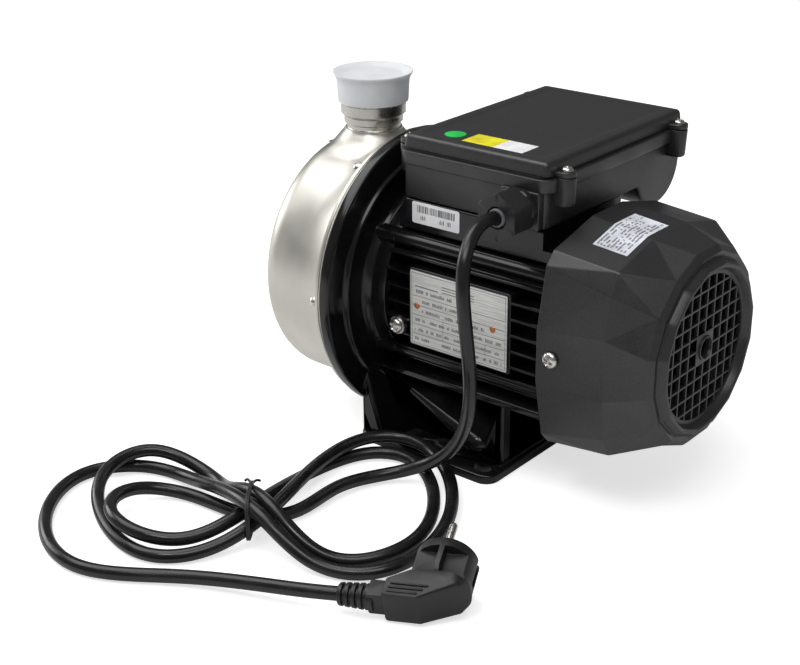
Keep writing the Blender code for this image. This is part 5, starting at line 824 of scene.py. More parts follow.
tieBolts = [(side * 60 * mm * cos(radians(41)), up * 60 * mm * sin(radians(41))) for side in (1, -1)
            for up in (1, -1)]
bracket = {
    # mm along the shaft and out from it, round the flange, the barrel, the bearing's pocket and back
    "section": ((-46, 20), (-46, 100), (-38, 100), (-38, 84.5), (-35.2, 83), (-35.2, 81), (-38, 79.5),
                (-38, 66), (-34, 62), (-22, 61), (-22, 54), (-38, 53), (-38, 24.8), (-14, 23.8),
                (-14, 17.8), (-25.3, 17.8), (-25.3, 11.5), (-28.5, 11.5), (-28.5, 20)),
    "reach": (0.5, 1.2, 2.2, 1.5, 1.0, 1.0, 1.5, 3.5, 3.5, 0.8, 0.5, 2, 2, 0.5, 0.5, 0.3, 0.5, 0.5, 0.5),
    "footX": (-44, 71), "footHalf": 67, "footThickness": 6.2, "footCorner": 10, "slotX": (5, 57.5),
    "slotY": 57, "top": 51, "core": 39, "cheek": 45.5, "buttress": 62,
    "ridge": ((-12, 44, 38.2), (53, 44.5, 13.2)),
}


def slotOutline(x, y, length, width):
    # Round-ended slot: two half circles a straight length apart
    t = np.linspace(-pi / 2, 3 * pi / 2, 33)[:-1]
    shift = np.where(np.cos(t) > -1e-9, 1, -1) * (length - width) / 2
    return np.stack([x + shift + width / 2 * np.cos(t), y + width / 2 * np.sin(t)], 1) * mm


def bracketMesh():
    b = bracket
    sheets = [turned(softened(np.array(b["section"]) * mm, np.array(b["reach"]) * mm, 6), 176)]
    for y, z in tieBolts:
        rows = np.array([(-39, 0), (-39, 5.9), (-22.4, 5.2), (-22, 4.8), (-22, 0)]) * mm
        sheets.append(turned(rows, 32, "X", (0, y, shaftHeight + z), False))
    foot = roundedRectangle(np.array(b["footX"]) * mm, (-b["footHalf"] * mm, b["footHalf"] * mm),
                            b["footCorner"] * mm)
    sheets.append(softPlate(foot, 0, b["footThickness"] * mm, 1.8 * mm, bottomEdge=0.5 * mm))
    core = np.array([(-43, 5), (66, 5), (66, b["top"]), (-43, b["top"])]) * mm
    sheets.append(softPlate(softened(core, 1.5 * mm), -b["core"] * mm, b["core"] * mm, 1.5 * mm, "Y"))
    side = np.array([(-43, 4.5), (-25, 4.5), (-38, 50), (-43, 50)]) * mm
    sheets.append(softPlate(softened(side, 1.5 * mm), -b["buttress"] * mm, b["buttress"] * mm, 2.0 * mm,
                            "Y"))
    cheek = np.array([(-39, b["top"] - 0.5), (-39, 46), (62, 5.0), (66, 5.0), (66, b["top"] - 0.5)]) * mm
    sheets.append(softPlate(softened(cheek, [1 * mm, 2 * mm, 2 * mm, 1 * mm, 2 * mm]), -b["cheek"] * mm,
                            b["cheek"] * mm, 2.0 * mm, "Y", steps=8))
    s = 1 - np.cos(np.linspace(0, pi / 2, 48))
    s = np.concatenate([s[:-1] * 0.8, 0.8 + 0.2 * np.sin(np.linspace(0, pi / 2, 24))])
    girth = (2.8 + 5.4 * s) * np.sqrt(1 - (np.maximum(s - 0.86, 0) / 0.1401) ** 2) * mm
    for side in (-1, 1):
        start, stop = [np.array((x, side * y, z)) for x, y, z in b["ridge"]]
        ridge = (start + (stop - start) * s[:, None]) * mm
        sheets.append(tubeAlong(ridge, girth, 32))
    cutters = []
    for x in b["slotX"]:
        for y in (-b["slotY"], b["slotY"]):
            ring = slotOutline(x, y, 14, 9)
            cutters.append(stacked([laid(h * mm, ring[:, 0], ring[:, 1], "Z") for h in (-2, 8.4)]))
    for low, high in ((-32, -5), (5, 60)):
        ring = roundedRectangle((low * mm, high * mm), (-33 * mm, 33 * mm), 5 * mm)
        middle = np.array([(low + high) / 2 * mm, 0])
        cutters.append(stacked([laid(h * mm, *((ring - middle) * share + middle).T, "Z")
                                for h, share in ((-2, 1), (33, 0.94))]))
    for y, z in tieBolts:
        rows = np.array([(-35, 0), (-35, 2.8), (-20, 2.8), (-20, 0)]) * mm
        cutters.append(turned(rows, 24, "X", (0, y, shaftHeight + z), False))
    return carved(meshOf("bracketAndFoot", sheets), cutters, 38)


addPiece("bracketAndFoot", bracketMesh(), "root", blackPaint, ["bracket"])
print("bracket done")


# Motor

motor = {"fins": 9, "pitch": 11, "finHalf": 1.5, "shell": 53.5, "tip": 65, "width": 59.5, "bore": 50.3,
         "platform": 45, "platformTop": 68, "saddle": 50, "saddleLow": -57.7}
housingLow, housingHigh = spanOf("motor_housing")


def housingOutline():
    # Outline with nine level fins a side, each from the round shell out to the smaller of a flat and a circle
    m = motor
    height = m["pitch"] * ((m["fins"] - 1) / 2 - np.arange(m["fins"]))
    tip = np.minimum(m["width"], np.sqrt(m["tip"] ** 2 - height ** 2))
    upper, lower = height + m["finHalf"], height - m["finHalf"]
    fins = np.stack([np.sqrt(m["shell"] ** 2 - upper ** 2), upper, tip, upper - 0.35, tip, lower + 0.35,
                     np.sqrt(m["shell"] ** 2 - lower ** 2), lower], 1).reshape(-1, 2)
    last = lower[-1] - 0.8
    right = np.concatenate([[(m["platform"], m["platformTop"]), (m["platform"], upper[0] + 1.5)], fins,
                            [(np.sqrt(m["shell"] ** 2 - last ** 2), last),
                             (m["saddle"] - 4, m["saddleLow"] + 6.5), (m["saddle"], m["saddleLow"] + 4),
                             (m["saddle"], m["saddleLow"])]])
    reach = np.concatenate([[1.5, 1.5], np.tile([1.0, 1.1, 1.1, 1.0], m["fins"]), [1.0, 1.0, 1.0, 0.5]])
    corners = np.concatenate([right, right[::-1] * (-1, 1)])
    return softened(corners * mm, np.concatenate([reach, reach[::-1]]) * mm, 5)


def housingMesh():
    low, high = housingLow[0], housingHigh[0]
    sheets = [softPlate(housingOutline(), low, high, 0.5 * mm, "X", shaftLine)]
    for y, z in tieBolts:
        rows = np.array([(low, 0), (low, 5.2 * mm), (high, 5.2 * mm), (high, 0)])
        sheets.append(turned(rows, 32, "X", (0, y, shaftHeight + z), False))
    cutters = [turned([(low - 2 * mm, 0), (low - 2 * mm, motor["bore"] * mm),
                       (high + 2 * mm, motor["bore"] * mm), (high + 2 * mm, 0)], 96, closed=False)]
    for x in ((low - 2 * mm, -15.3 * mm), (92.8 * mm, high + 2 * mm)):
        ring = roundedRectangle(x, (-80 * mm, 80 * mm), 1.5 * mm)
        cutters.append(stacked([laid(shaftHeight + h * mm, ring[:, 0], ring[:, 1], "Z")
                                for h in (55.5, 90)]))
    for y, z in tieBolts:
        rows = [(low - 2 * mm, 0), (low - 2 * mm, 2.8 * mm), (high + 2 * mm, 2.8 * mm), (high + 2 * mm, 0)]
        cutters.append(turned(rows, 24, "X", (0, y, shaftHeight + z), False))
    pad = roundedRectangle((-2 * mm, 80 * mm), (-27.5 * mm, 27.5 * mm), 2 * mm)
    pads = [softPlate(pad, -59.5 * mm, -45 * mm, 0.6 * mm, "Y", (0, 0, shaftHeight), bottomEdge=0.8 * mm)]
    boss = np.array([(-45, 0), (-45, 8), (-59.0, 7), (-59.5, 6.5), (-59.5, 0)]) * mm
    pads.append(turned(boss, 40, "Y", (-11.5 * mm, 0, shaftHeight - 16.5 * mm), False))
    return carved(meshOf("motorHousing", sheets + pads), cutters, 38)


addPiece("motorHousing", housingMesh(), "root", blackPaint, ["motor_housing"])


def shieldMesh():
    section = np.array([(114.6, 9.5), (114.6, 62.5), (113.1, 64), (108.6, 64), (108.6, 50), (104.6, 50),
                        (104.6, 46), (108.6, 22.8), (97.3, 22.8), (97.3, 17.8), (108.6, 17.8),
                        (108.6, 9.5)]) * mm
    sheets = [turned(softened(section, 0.8 * mm, 5), 128)]
    for side in (1, -1):
        ear = roundedRectangle((109.6 * mm, 125.5 * mm), (-5.5 * mm, 5.5 * mm), 1.2 * mm)
        low, high = sorted((side * 58 * mm, side * 70.4 * mm))
        sheets.append(softPlate(ear, low, high, 0.5 * mm, "Y", (0, 0, shaftHeight)))
    return meshOf("rearShield", sheets)


addPiece("rearShield", shieldMesh(), "root", blackPaint, ["rear_shield"])

for k in range(4):
    low, high = spanOf(f"tie_bolt_{k + 1}")
    place = (0, (low[1] + high[1]) / 2, (low[2] + high[2]) / 2)
    rows = [(low[0], 0), (low[0], 2.3 * mm), (low[0] + 0.4 * mm, 2.5 * mm), (high[0] - 4 * mm, 2.5 * mm),
            (high[0] - 4 * mm, 4.6 * mm), (high[0] - 0.9 * mm, 5.2 * mm), (high[0], 4.2 * mm), (high[0], 0)]
    addPiece(f"tieBolt{k + 1}", meshOf("tieBolt", [hexTurned(rows, 8 * mm, 48, "X", place)], 40), "root",
             nickelPlate, [f"tie_bolt_{k + 1}"])
print("motor done")


# Fan cover

fanCover = {
    "rim": ((75, 17), (67, 56.3), (59.5, 64.4), (17, 75)),
    "shoulder": ((70, 20), (65.4, 47.2), (59, 60.3), (20, 70)),
    "rimX": 110, "shoulderX": 155, "endX": 181, "endRadius": 65, "crown": 3.5, "wall": 2.5,
    "lip": ((184.5, 61.2), (184.2, 59.2), (183.6, 58.0), (184.2, 57.2), (188.0, 55.4), (188.8, 54.6),
            (188.9, 53.2), (188.4, 52.0), (187.2, 50.9), (184.3, 49.2), (183.9, 48.6), (183.9, 46.9),
            (181.5, 46.9), (181.5, 60.4)),
    "lipFacets": (1, 1, 1, 1, 1, 1, 0.9, 0.6, 0.3, 0, 0, 0, 0, 1),
    "grille": 47.6, "pitch": 9.6, "rib": 1.5, "face": 184.0, "back": 181.5,
}


def facetRing(corners, x, shrink=0.0):
    # Sixteen corners mirrored from one quadrant, moved towards the axis by shrink
    first = np.array(corners, float)
    ring = np.concatenate([first, first[::-1] * (-1, 1), -first, first[::-1] * (1, -1)])
    ring *= 1 - shrink / np.linalg.norm(ring, axis=1, keepdims=True)
    return np.column_stack([np.full(len(ring), x), ring])


def evenRing(radius, x):
    # Sixteen corners on a circle
    t = pi / 16 + np.arange(16) * pi / 8
    return np.stack([np.full(16, x), radius * np.cos(t), radius * np.sin(t)], 1)


def facetShell():
    # Two belts of flat facets and their wall; flat neighbours are joined again before the edges are rounded
    f = fanCover
    crown = f["endX"] + f["crown"]
    rings = [facetRing(f["rim"], f["rimX"]), facetRing(f["shoulder"], f["shoulderX"]),
             evenRing(f["endRadius"], f["endX"]), evenRing(61.4, crown), evenRing(60.2, crown - 0.9),
             evenRing(59, f["back"]), evenRing(f["endRadius"] - f["wall"], f["endX"] - f["wall"]),
             facetRing(f["shoulder"], f["shoulderX"], f["wall"]), facetRing(f["rim"], f["rimX"], f["wall"])]
    grid = np.array(rings) * mm + np.array(shaftLine)
    mesh = meshOf("fanCover", [(grid, True, True)])
    work = bmesh.new()
    work.from_mesh(mesh)
    bmesh.ops.triangulate(work, faces=work.faces)
    bmesh.ops.dissolve_limit(work, angle_limit=radians(1.5), verts=work.verts, edges=work.edges)
    work.to_mesh(mesh)
    work.free()
    mesh.shade_flat()
    return mesh


def facetedTurn(profile, count, sides=192, facets=None):
    # Turned shape whose chosen rows are a polygon: r cos(pi/n) / cos(angle to the nearest flat's middle)
    profile = np.asarray(profile, float)
    t = np.linspace(0, 2 * pi, sides, endpoint=False)[None]
    flat = cos(pi / count) / np.cos((t - pi / count) % (2 * pi / count) - pi / count)
    share = np.asarray(facets, float)[:, None]
    r = profile[:, 1:] * (share * flat + 1 - share)
    return laid(profile[:, :1], r * np.cos(t), r * np.sin(t), "X") + np.array(shaftLine), True, True


def grilleSheets():
    # Lip with a faceted outer side, and ribs across and up on one pitch that stop at the hub plate
    f = fanCover
    lip, facets = f["lip"], f["lipFacets"]
    sheets = [facetedTurn(np.array(lip) * mm, 16, 192, facets)]
    places = f["pitch"] * np.arange(-4, 5)
    half = f["rib"] / 2
    for direction, lower in (("Y", 0.0), ("Z", 0.08)):
        for place in places:
            reach = sqrt(f["grille"] ** 2 - place ** 2)
            ends = ((-reach, -f["pitch"]), (f["pitch"], reach)) if place == 0 else ((-reach, reach),)
            for low, high in ends:
                depth = (f["back"] * mm, (f["face"] - lower) * mm)
                ring = roundedRectangle(depth, (-half * mm, half * mm), 0.3 * mm, 3)
                across = ring[:, 1] + place * mm
                rows = []
                for end in (low, high):
                    level = np.full(len(ring), end * mm)
                    pair = (level, across) if direction == "Y" else (across, level)
                    rows.append(np.stack([ring[:, 0], *pair], 1))
                sheets.append(stacked(np.array(rows) + np.array(shaftLine)))
    return sheets


def hubSheets():
    # Square plate whose rows run from its outline in to the round hole, up the ring and back underneath
    f = fanCover
    square = f["pitch"] + f["rib"] / 2
    t = np.linspace(0, 2 * pi, 96, endpoint=False) + pi / 96
    box = square / np.maximum(np.abs(np.cos(t)), np.abs(np.sin(t)))
    rows = [(f["back"], box), (f["face"] - 0.05, box), (f["face"] + 0.15, box - 0.25)]
    rows += [(f["face"] + a, np.full(96, r))
             for a, r in ((0.15, 8.5), (0.3, 8.1), (1.3, 7.9), (1.5, 7.6), (1.5, 7.1), (1.3, 6.8),
                          (0.1, 6.5), (0.1, 6.0))]
    rows += [(f["back"], np.full(96, 6.0))]
    grid = np.array([laid(a, r * np.cos(t), r * np.sin(t), "X") for a, r in rows]) * mm
    return [(grid + np.array(shaftLine), True, True)]


shellMesh = facetShell()
fanShell = addPiece("fanCoverShell", shellMesh, "root", boxPlastic, ["fan_cover"])
edgeStep = fanShell.modifiers.new("edges", "BEVEL")
edgeStep.width = 0.6 * mm
edgeStep.segments = 3
edgeStep.limit_method = "ANGLE"
edgeStep.angle_limit = radians(8)
addPiece("fanGrille", meshOf("fanGrille", grilleSheets() + hubSheets(), 24), "root",
         boxPlastic)

for k, side in ((1, -1), (2, 1)):
    low, high = spanOf(f"fan_cover_screw_{k}")
    outward = -1 if (low[1] + high[1]) < 0 else 1
    tip = max(abs(low[1]), abs(high[1]))
    face = tip - 3.0 * mm
    place = ((low[0] + high[0]) / 2, 0, (low[2] + high[2]) / 2)
    axis = "-Y" if outward < 0 else "Y"
    sheets = [crossHead(face, 5.3 * mm, 3.2 * mm, 0.95 * mm, axis, place),
              turned([(face + 0.1 * mm, 0), (face + 0.1 * mm, 2 * mm), (face - 12 * mm, 2 * mm),
                      (face - 12 * mm, 0)], 24, axis, place, False)]
    addPiece(f"coverScrew{k}", meshOf("coverScrew", sheets, 40), "root", nickelPlate,
             [f"fan_cover_screw_{k}"])
print("fan cover done")


# Terminal box

box = {"bodyX": (-17.3, 94.8), "bodyY": (-45.3, 116.3), "floor": 68.3, "collarLow": 92.3,
       "collarTop": 101.3, "collarX": (-20.8, 98.3), "collarY": (-48.8, 119.8), "lidX": (-18, 95.5),
       "lidY": (-46, 117), "corner": 4.5, "bulgeY": 88.5, "bulgeZ": 78.8, "bulge": 28, "lugReach": 4.5,
       "lugInset": 14, "lugRadius": 6.2, "lugDepth": 19}
lidBottom = 102.9
lugPlaces = [(x, y) for x in (box["lidX"][0] - box["lugReach"], box["lidX"][1] + box["lugReach"])
             for y in (box["lidY"][0] + box["lugInset"], box["lidY"][1] - box["lugInset"])]


def lugOutline(x, y, back):
    # Half circle round the screw and a short bridge back to the box
    outward = 1 if x > 0 else -1
    t = np.linspace(-pi / 2, pi / 2, 13)
    arc = np.stack([x + outward * box["lugRadius"] * np.cos(t), y + box["lugRadius"] * np.sin(t)], 1)
    inner = np.array([(x - outward * back, y + box["lugRadius"]),
                      (x - outward * back, y - box["lugRadius"])])
    return np.concatenate([arc, inner]) * mm


def boxSheets():
    b = box
    t = np.linspace(0, 1, 40)
    drop = b["floor"] - b["bulgeZ"]
    start = np.arctan2(drop, -sqrt(b["bulge"] ** 2 - drop ** 2)) + 2 * pi
    turn = start + (2 * pi - start) * t
    arc = np.stack([b["bulgeY"] + b["bulge"] * np.cos(turn), b["bulgeZ"] + b["bulge"] * np.sin(turn)], 1)
    section = np.concatenate([[(b["bodyY"][0], b["collarLow"] + 1), (b["bodyY"][0], b["floor"] + 3),
                               (b["bodyY"][0] + 0.9, b["floor"] + 0.9), (b["bodyY"][0] + 3, b["floor"])],
                              arc, [(b["bodyY"][1], b["collarLow"] + 1)]])
    sheets = [softPlate(section * mm, b["bodyX"][0] * mm, b["bodyX"][1] * mm, 3.0 * mm, "X", shaftLine,
                        steps=7)]
    collar = roundedRectangle(np.array(b["collarX"]) * mm, np.array(b["collarY"]) * mm, 9.8 * mm, 10)
    sheets.append(softPlate(collar, b["collarLow"] * mm, b["collarTop"] * mm, 0.6 * mm, "Z",
                            (0, 0, shaftHeight), draft=0.4 * mm, bottomEdge=0.9 * mm))
    for x, y in lugPlaces:
        sheets.append(softPlate(lugOutline(x, y, 8), (b["collarTop"] - b["lugDepth"]) * mm,
                                b["collarTop"] * mm, 0.5 * mm, "Z", (0, 0, shaftHeight), draft=0.8 * mm,
                                bottomEdge=2.0 * mm))
    pad = softened(np.array([(63.5, 68.8), (92.5, 68.8), (92.5, 93.3), (63.5, 93.3)]) * mm, 2 * mm)
    sheets.append(softPlate(pad, -50.3 * mm, -44 * mm, 0.8 * mm, "Y", shaftLine))
    return sheets


def lidSheets():
    # Rows of a shrinking rounded rectangle: up the drafted side, over the edge and down into the sunk panel
    b = box
    low = lidBottom
    rows = softened(np.array([(3.8, 6.0), (2.4, 0.0), (0.0, 0.0), (0.35, 1.6), (1.2, 8.4), (9.0, 8.4),
                              (12.0, 7.9), (20.0, 7.9)]) * mm,
                    np.array([0.5, 0.4, 0.5, 1.0, 3.2, 1.5, 1.5, 0.1]) * mm, 7, False)
    rings = []
    for margin, height in rows:
        ring = roundedRectangle(np.array(b["lidX"]) * mm + (margin, -margin),
                                np.array(b["lidY"]) * mm + (margin, -margin),
                                max(b["corner"] * mm - margin, 1.2 * mm), 10)
        rings.append(laid(height + low * mm + shaftHeight, ring[:, 0], ring[:, 1], "Z"))
    sheets = [stacked(rings)]
    for x, y in lugPlaces:
        sheets.append(softPlate(lugOutline(x, y, 6), (low - 1.2) * mm, (low + 2.2) * mm, 0.6 * mm, "Z",
                                (0, 0, shaftHeight)))
    return sheets


addPiece("terminalBox", meshOf("terminalBox", boxSheets(), 40), "root", boxPlastic,
         ["terminal_box"])
addPiece("boxLid", meshOf("boxLid", lidSheets(), 40), "root", boxPlastic, ["box_lid"])

for k in range(4):
    low, high = spanOf(f"lid_screw_{k + 1}")
    place = ((low[0] + high[0]) / 2, (low[1] + high[1]) / 2, 0)
    face = high[2] - 2.4 * mm
    sheets = [crossHead(face, 3.8 * mm, 2.4 * mm, 0.65 * mm, "Z", place, 0.3 + k),
              turned([(face + 0.1 * mm, 0), (face + 0.1 * mm, 1.5 * mm), (low[2], 1.5 * mm), (low[2], 0)],
                     24, "Z", place, False)]
    addPiece(f"lidScrew{k + 1}", meshOf("lidScrew", sheets, 40), "root", nickelPlate,
             [f"lid_screw_{k + 1}"])
print("terminal box done")


# Cable gland

gland = {
    "place": (78 * mm, 0, shaftHeight + 81.5 * mm), "bodyFlats": 26 * mm, "nutFlats": 27 * mm,
    # out from the shaft's plane and out from the gland's own axis, mm
    "body": ((41.6, 6.5), (41.6, 9.5), (50.6, 9.5), (50.6, 13.6), (51.0, 14.0), (54.6, 14.0), (55.4, 13.2),
             (55.6, 9.5), (65.9, 9.5), (65.9, 6.5)),
    "nut": ((55.9, 9.8), (55.9, 14.6), (56.3, 15.9), (72.6, 15.9), (73.5, 15.2), (73.9, 14.4), (73.9, 7.4),
            (73.4, 6.9), (70.4, 6.9), (67.9, 9.8)),
    "bush": ((57.9, 4.3), (57.9, 6.1), (66.2, 6.1), (72.0, 6.0), (74.2, 5.9), (74.9, 5.4), (74.9, 4.7),
             (74.4, 4.3)),
}
bodyRows, nutRows, bushRows = [np.array(gland[key]) * mm for key in ("body", "nut", "bush")]
glandBody = hexTurned(bodyRows, gland["bodyFlats"], 96, "-Y", gland["place"])
addPiece("glandBody", meshOf("glandBody", [(glandBody[0], True, True)], 40), "root",
         glandPlastic, ["gland_body"])
glandNut = hexTurned(nutRows, gland["nutFlats"], 96, "-Y", gland["place"], turn=pi / 6)
addPiece("glandNut", meshOf("glandNut", [(glandNut[0], True, True)], 30), "root",
         glandPlastic, ["gland_nut"])
addPiece("glandBush", meshOf("glandBush", [turned(bushRows, 48, "-Y", gland["place"])], 40), "root",
         greyRubber, ["gland_seal"])
print("gland done")


# Nameplate, its rivets, the earth screw and the labels

plate = {"x": (0, 78), "half": 26, "rivets": ((5.6, 1.8), (66.9, 1.1)),
         "rules": (8.6, 2.2, -4.6, -11.4, -18.2), "seed": 7, "print": 60.43}


def plateSheet():
    p = plate
    outline = roundedRectangle(np.array(p["x"]) * mm, (-p["half"] * mm, p["half"] * mm), 1.0 * mm)
    return softPlate(outline, -60.4 * mm, -59.8 * mm, 0.15 * mm, "Y", (0, 0, shaftHeight))


def rivetSheets():
    sheets = []
    for x, z in plate["rivets"]:
        v = np.linspace(0, pi / 2, 9)
        rows = np.stack([60.4 + 1.1 * np.cos(v), 2.2 * np.sin(v)], 1)
        rows = np.concatenate([rows, [(60.3, 2.2), (60.3, 0)]]) * mm
        sheets.append(turned(rows, 32, "-Y", (x * mm, 0, shaftHeight + z * mm), False))
    return sheets


def strip(low, high, depth, axis="-Y", centre=shaftLine):
    # Thin printed bar between two corners, standing just clear of its plate
    corners = np.array([(low[0], low[1]), (high[0], low[1]), (high[0], high[1]), (low[0], high[1])]) * mm
    return stacked([laid(h * mm, corners[:, 0], corners[:, 1], axis) + np.array(centre) for h in depth])


def strokes(x, z, height, random, gap=0.42):
    # A row of short upright strokes in groups, the plain stand-in for a line of small print
    bars, place = [], x[0]
    while place < x[1]:
        width = 0.34 + 0.3 * random.random()
        tall = height * (0.72 + 0.28 * (random.random() > 0.3))
        if random.random() > 0.14:
            bars.append(((place, z - height / 2), (place + width, z - height / 2 + tall)))
        else:
            place += 1.1
        place += width + gap
    return bars


def plateBars():
    p = plate
    random = np.random.default_rng(p["seed"])
    bars = [((2, rule), (76, rule + 0.3)) for rule in p["rules"]]
    bars += [((1.2, z), (76.8, z + 0.25)) for z in (-24.9, 24.6)]
    bars += [((x, -24.9), (x + 0.25, 24.85)) for x in (1.2, 76.55)]
    bars += [((26, z), (52, z + 0.45)) for z in (19.5, 17.6, 15.7)]
    bars += [((4, 15.4), (23, 16.0))]
    for x, z, height in (((5, 34), 12.2, 2.4), ((39, 50), 12.2, 2.0), ((10, 40), 5.4, 2.1),
                         ((8, 60), -1.2, 2.1), ((4, 74), -8.0, 2.1), ((4, 74), -14.8, 2.1),
                         ((4, 74), -21.4, 2.1)):
        bars += strokes(x, z, height, random)
    for x, low, high in ((27, -18.2, -4.6), (50, -18.2, 2.2), (61, -18.2, -11.4)):
        bars += [((x, low), (x + 0.25, high))]
    return [strip(low, high, (p["print"] - 0.1, p["print"])) for low, high in bars]


addPiece("nameplate", meshOf("nameplate", [plateSheet()]), "root", plateMetal, ["nameplate"])
addPiece("nameplatePrint", meshOf("nameplatePrint", plateBars()), "root", printInk)
addPiece("nameplateRivets", meshOf("nameplateRivets", rivetSheets()), "root", copperWire)

earth = (-11.5 * mm, 0, shaftHeight - 16.5 * mm)
earthSheets = [crossHead(61.6 * mm, 5.2 * mm, 3.1 * mm, 0.85 * mm, "-Y", earth, 0.7),
               turned(np.array([(59.8, 1.8), (59.8, 6.2), (60.7, 6.2), (60.7, 1.8)]) * mm, 48, "-Y", earth),
               turned(np.array([(60.75, 1.8), (60.75, 5.3), (61.65, 5.3), (61.65, 1.8)]) * mm, 48, "-Y",
                      earth),
               turned(np.array([(61.7, 0), (61.7, 2), (53.8, 2), (53.8, 0)]) * mm, 24, "-Y", earth, False)]
addPiece("earthScrew", meshOf("earthScrew", earthSheets, 40), "root", nickelPlate,
         ["earth_screw"])
label = {"x": (-10.3, 28.4), "z": (161.5, 176.1), "wall": 45.0, "lift": 0.25, "seed": 11}


def labelBars():
    # Upright bars of three widths with gaps of three widths, and a row of small strokes beneath
    random = np.random.default_rng(label["seed"])
    width = random.choice((0.3, 0.55, 0.8), 46)
    gap = random.choice((0.3, 0.45, 0.7), 46)
    start = label["x"][0] + 3.5 + np.cumsum(width + gap) - width
    keep = start + width < label["x"][1] - 3.5
    bars = [((a, 169.2), (a + w, 174.0)) for a, w in zip(start[keep], width[keep])]
    bars += strokes((label["x"][0] + 7, label["x"][1] - 7), 165.8, 3.0, random, 0.6)
    level = label["wall"] + label["lift"]
    return [strip(low, high, (level - 0.1, level + 0.03), "-Y", (0, 0, 0)) for low, high in bars]


wallLabel = softPlate(roundedRectangle(np.array(label["x"]) * mm, np.array(label["z"]) * mm, 1.5 * mm),
                      -(label["wall"] + label["lift"]) * mm, -(label["wall"] - 0.3) * mm, 0.05 * mm, "Y")
addPiece("wallLabel", meshOf("wallLabel", [wallLabel]), "root", whiteFilm)
addPiece("wallLabelPrint", meshOf("wallLabelPrint", labelBars()), "root", printInk)

sticker = {"dot": (10, -25.5), "radius": 7.0, "yellow": (22, 46), "white": (46, 68.5), "y": (-36.4, -16.4),
           "lift": 0.18}
panelTop = shaftHeight + (lidBottom + 7.9) * mm


def onPanel(outline, lift):
    return softPlate(outline, panelTop - 0.3 * mm, panelTop + lift * mm, 0.04 * mm, "Z")


def stickerOutline(x):
    return roundedRectangle(np.array(x) * mm, np.array(sticker["y"]) * mm, 0.3 * mm, 3)


dotAngle = np.linspace(0, 2 * pi, 48, endpoint=False)
dotRing = np.stack([np.cos(dotAngle), np.sin(dotAngle)], 1)
dot = np.array(sticker["dot"]) * mm + sticker["radius"] * mm * dotRing
addPiece("greenDot", meshOf("greenDot", [onPanel(dot, sticker["lift"])]), "root", greenFilm)
for name, key, film in (("yellowSticker", "yellow", yellowFilm), ("whiteSticker", "white", whiteFilm)):
    sheet = onPanel(stickerOutline(sticker[key]), sticker["lift"])
    addPiece(name, meshOf(name, [sheet]), "root", film)

coverLabel = {"x": (127, 151), "y": (-43, 5), "lift": 0.25, "thick": 0.2, "rows": 9, "pitch": 2.35,
              "seed": 5}


def wrapped(name, sheets, lift, thick):
    # Flat sheets dropped on to the fan cover along Z and given their thickness
    mesh = meshOf(name, sheets, weld=False)
    sheet = bpy.data.objects.new(name, mesh)
    bpy.context.scene.collection.objects.link(sheet)
    wrap = sheet.modifiers.new("wrap", "SHRINKWRAP")
    wrap.target = fanShell
    wrap.wrap_method = "PROJECT"
    wrap.use_project_z = True
    wrap.use_negative_direction = True
    wrap.use_positive_direction = False
    wrap.offset = lift * mm
    body = sheet.modifiers.new("thick", "SOLIDIFY")
    body.thickness = thick * mm
    body.offset = 0
    result = bpy.data.meshes.new_from_object(sheet.evaluated_get(bpy.context.evaluated_depsgraph_get()))
    bpy.data.objects.remove(sheet, do_unlink=True)
    tidy(result)
    result.shade_smooth()
    result.set_sharp_from_angle(angle=radians(20))
    return result


def flatSheet(x, y, rows, columns):
    # Level grid between two pairs of limits, high above the cover
    u, v = np.meshgrid(np.linspace(x[0], x[1], rows), np.linspace(y[0], y[1], columns), indexing="ij")
    return np.stack([u, v, np.full_like(u, 210.0)], -1) * mm, False, False


def coverLabelBars():
    # Lines of small strokes that run across the shaft, each of its own length
    c = coverLabel
    random = np.random.default_rng(c["seed"])
    bars = []
    for k in range(c["rows"]):
        end = c["y"][1] - 2 - random.choice((0, 0, 6, 15))
        middle = c["x"][0] + 2.2 + c["pitch"] * k
        bars += [flatSheet((low[1], high[1]), (low[0], high[0]), 3, 2)
                 for low, high in strokes((c["y"][0] + 2, end), middle, 1.3, random, 0.35)]
    return bars


labelSheet = flatSheet(coverLabel["x"], coverLabel["y"], 34, 60)
labelMesh = wrapped("coverLabel", [labelSheet], coverLabel["lift"], coverLabel["thick"])
addPiece("coverLabel", labelMesh, "root", silverFilm)
labelPrint = wrapped("coverLabelPrint", coverLabelBars(), coverLabel["lift"] + 0.13, 0.06)
addPiece("coverLabelPrint", labelPrint, "root", printInk)
print("plates and labels done")


# Studio

studio = {"floorColour": (0.80, 0.80, 0.80), "floorGlow": 0.66, "worldStrength": 0.22,
          "mirrorStrength": 0.15,
          # name, place, size and power of each lamp
          "lamps": (("topLamp", (-0.9, -0.35, 2.1), (1.9, 1.8), 30.0),
                    ("leftLamp", (-1.6, -0.35, 0.6), (0.9, 0.7), 7.0),
                    ("overLamp", (0.83, -0.8, 1.84), (0.9, 0.9), 9.0),
                    ("frontLamp", (0.2, -1.2, 1.7), (0.4, 0.4), 5.0))}


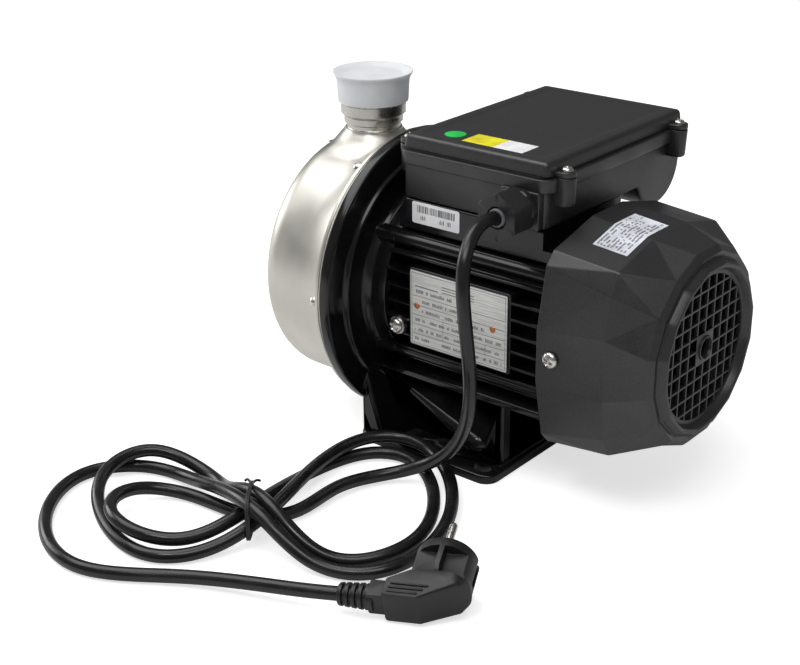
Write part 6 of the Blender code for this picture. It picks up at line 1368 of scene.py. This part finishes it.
def addFloor(choice):
    mesh = bpy.data.meshes.new("studioFloor")
    size = 6.0
    corners = [(-size, -size, 0), (size, -size, 0), (size, size, 0), (-size, size, 0)]
    mesh.from_pydata(corners, [], [(0, 1, 2, 3)])
    floor = bpy.data.objects.new("studioFloor", mesh)
    bpy.context.scene.collection.objects.link(floor)
    material = finish("studioPaper", choice["floorColour"], 0.9)
    ray = addNode(material, "LightPath")
    glow = addNode(material, "Math", {"operation": "MULTIPLY"}, n0=ray.outputs["Is Camera Ray"],
                   n1=choice["floorGlow"])
    shader = material.node_tree.nodes["Principled BSDF"]
    shader.inputs["Emission Color"].default_value = (1, 1, 1, 1)
    shader.inputs["Specular IOR Level"].default_value = 0.0
    material.node_tree.links.new(glow.outputs[0], shader.inputs["Emission Strength"])
    mesh.materials.append(material)


def addSky(choice):
    world = bpy.data.worlds.new("studioSky")
    bpy.context.scene.world = world
    world.use_nodes = True
    tree = world.node_tree
    back = tree.nodes["Background"]
    back.inputs["Color"].default_value = (1, 1, 1, 1)
    ray = tree.nodes.new("ShaderNodeLightPath")
    seen = tree.nodes.new("ShaderNodeMath")
    seen.operation = "MAXIMUM"
    tree.links.new(ray.outputs["Is Camera Ray"], seen.inputs[0])
    tree.links.new(ray.outputs["Is Transmission Ray"], seen.inputs[1])
    soft = tree.nodes.new("ShaderNodeMapRange")
    soft.inputs["To Min"].default_value = choice["mirrorStrength"]
    soft.inputs["To Max"].default_value = choice["worldStrength"]
    tree.links.new(ray.outputs["Is Diffuse Ray"], soft.inputs["Value"])
    level = tree.nodes.new("ShaderNodeMapRange")
    level.inputs["To Max"].default_value = 1.0
    tree.links.new(soft.outputs[0], level.inputs["To Min"])
    tree.links.new(seen.outputs[0], level.inputs["Value"])
    tree.links.new(level.outputs[0], back.inputs["Strength"])


def addLamps(choice):
    for name, place, size, power in choice["lamps"]:
        lamp = bpy.data.lights.new(name, "AREA")
        lamp.shape = "RECTANGLE"
        lamp.size, lamp.size_y = size
        lamp.energy = power
        holder = bpy.data.objects.new(name, lamp)
        holder.location = place
        towards = Vector((0, -0.05, 0.1)) - Vector(place)
        holder.rotation_euler = towards.to_track_quat("-Z", "Y").to_euler()
        bpy.context.scene.collection.objects.link(holder)


addFloor(studio)
addSky(studio)
addLamps(studio)
bpy.context.scene.view_settings.view_transform = "Standard"

for part in frame["record"]["subparts"]:
    node = frame["nodes"][part["node"]]
    node.data.materials.clear()
    node.data.materials.append(finishOfSlot[part["material_slot"]])
print("finishes given to the inner pieces")
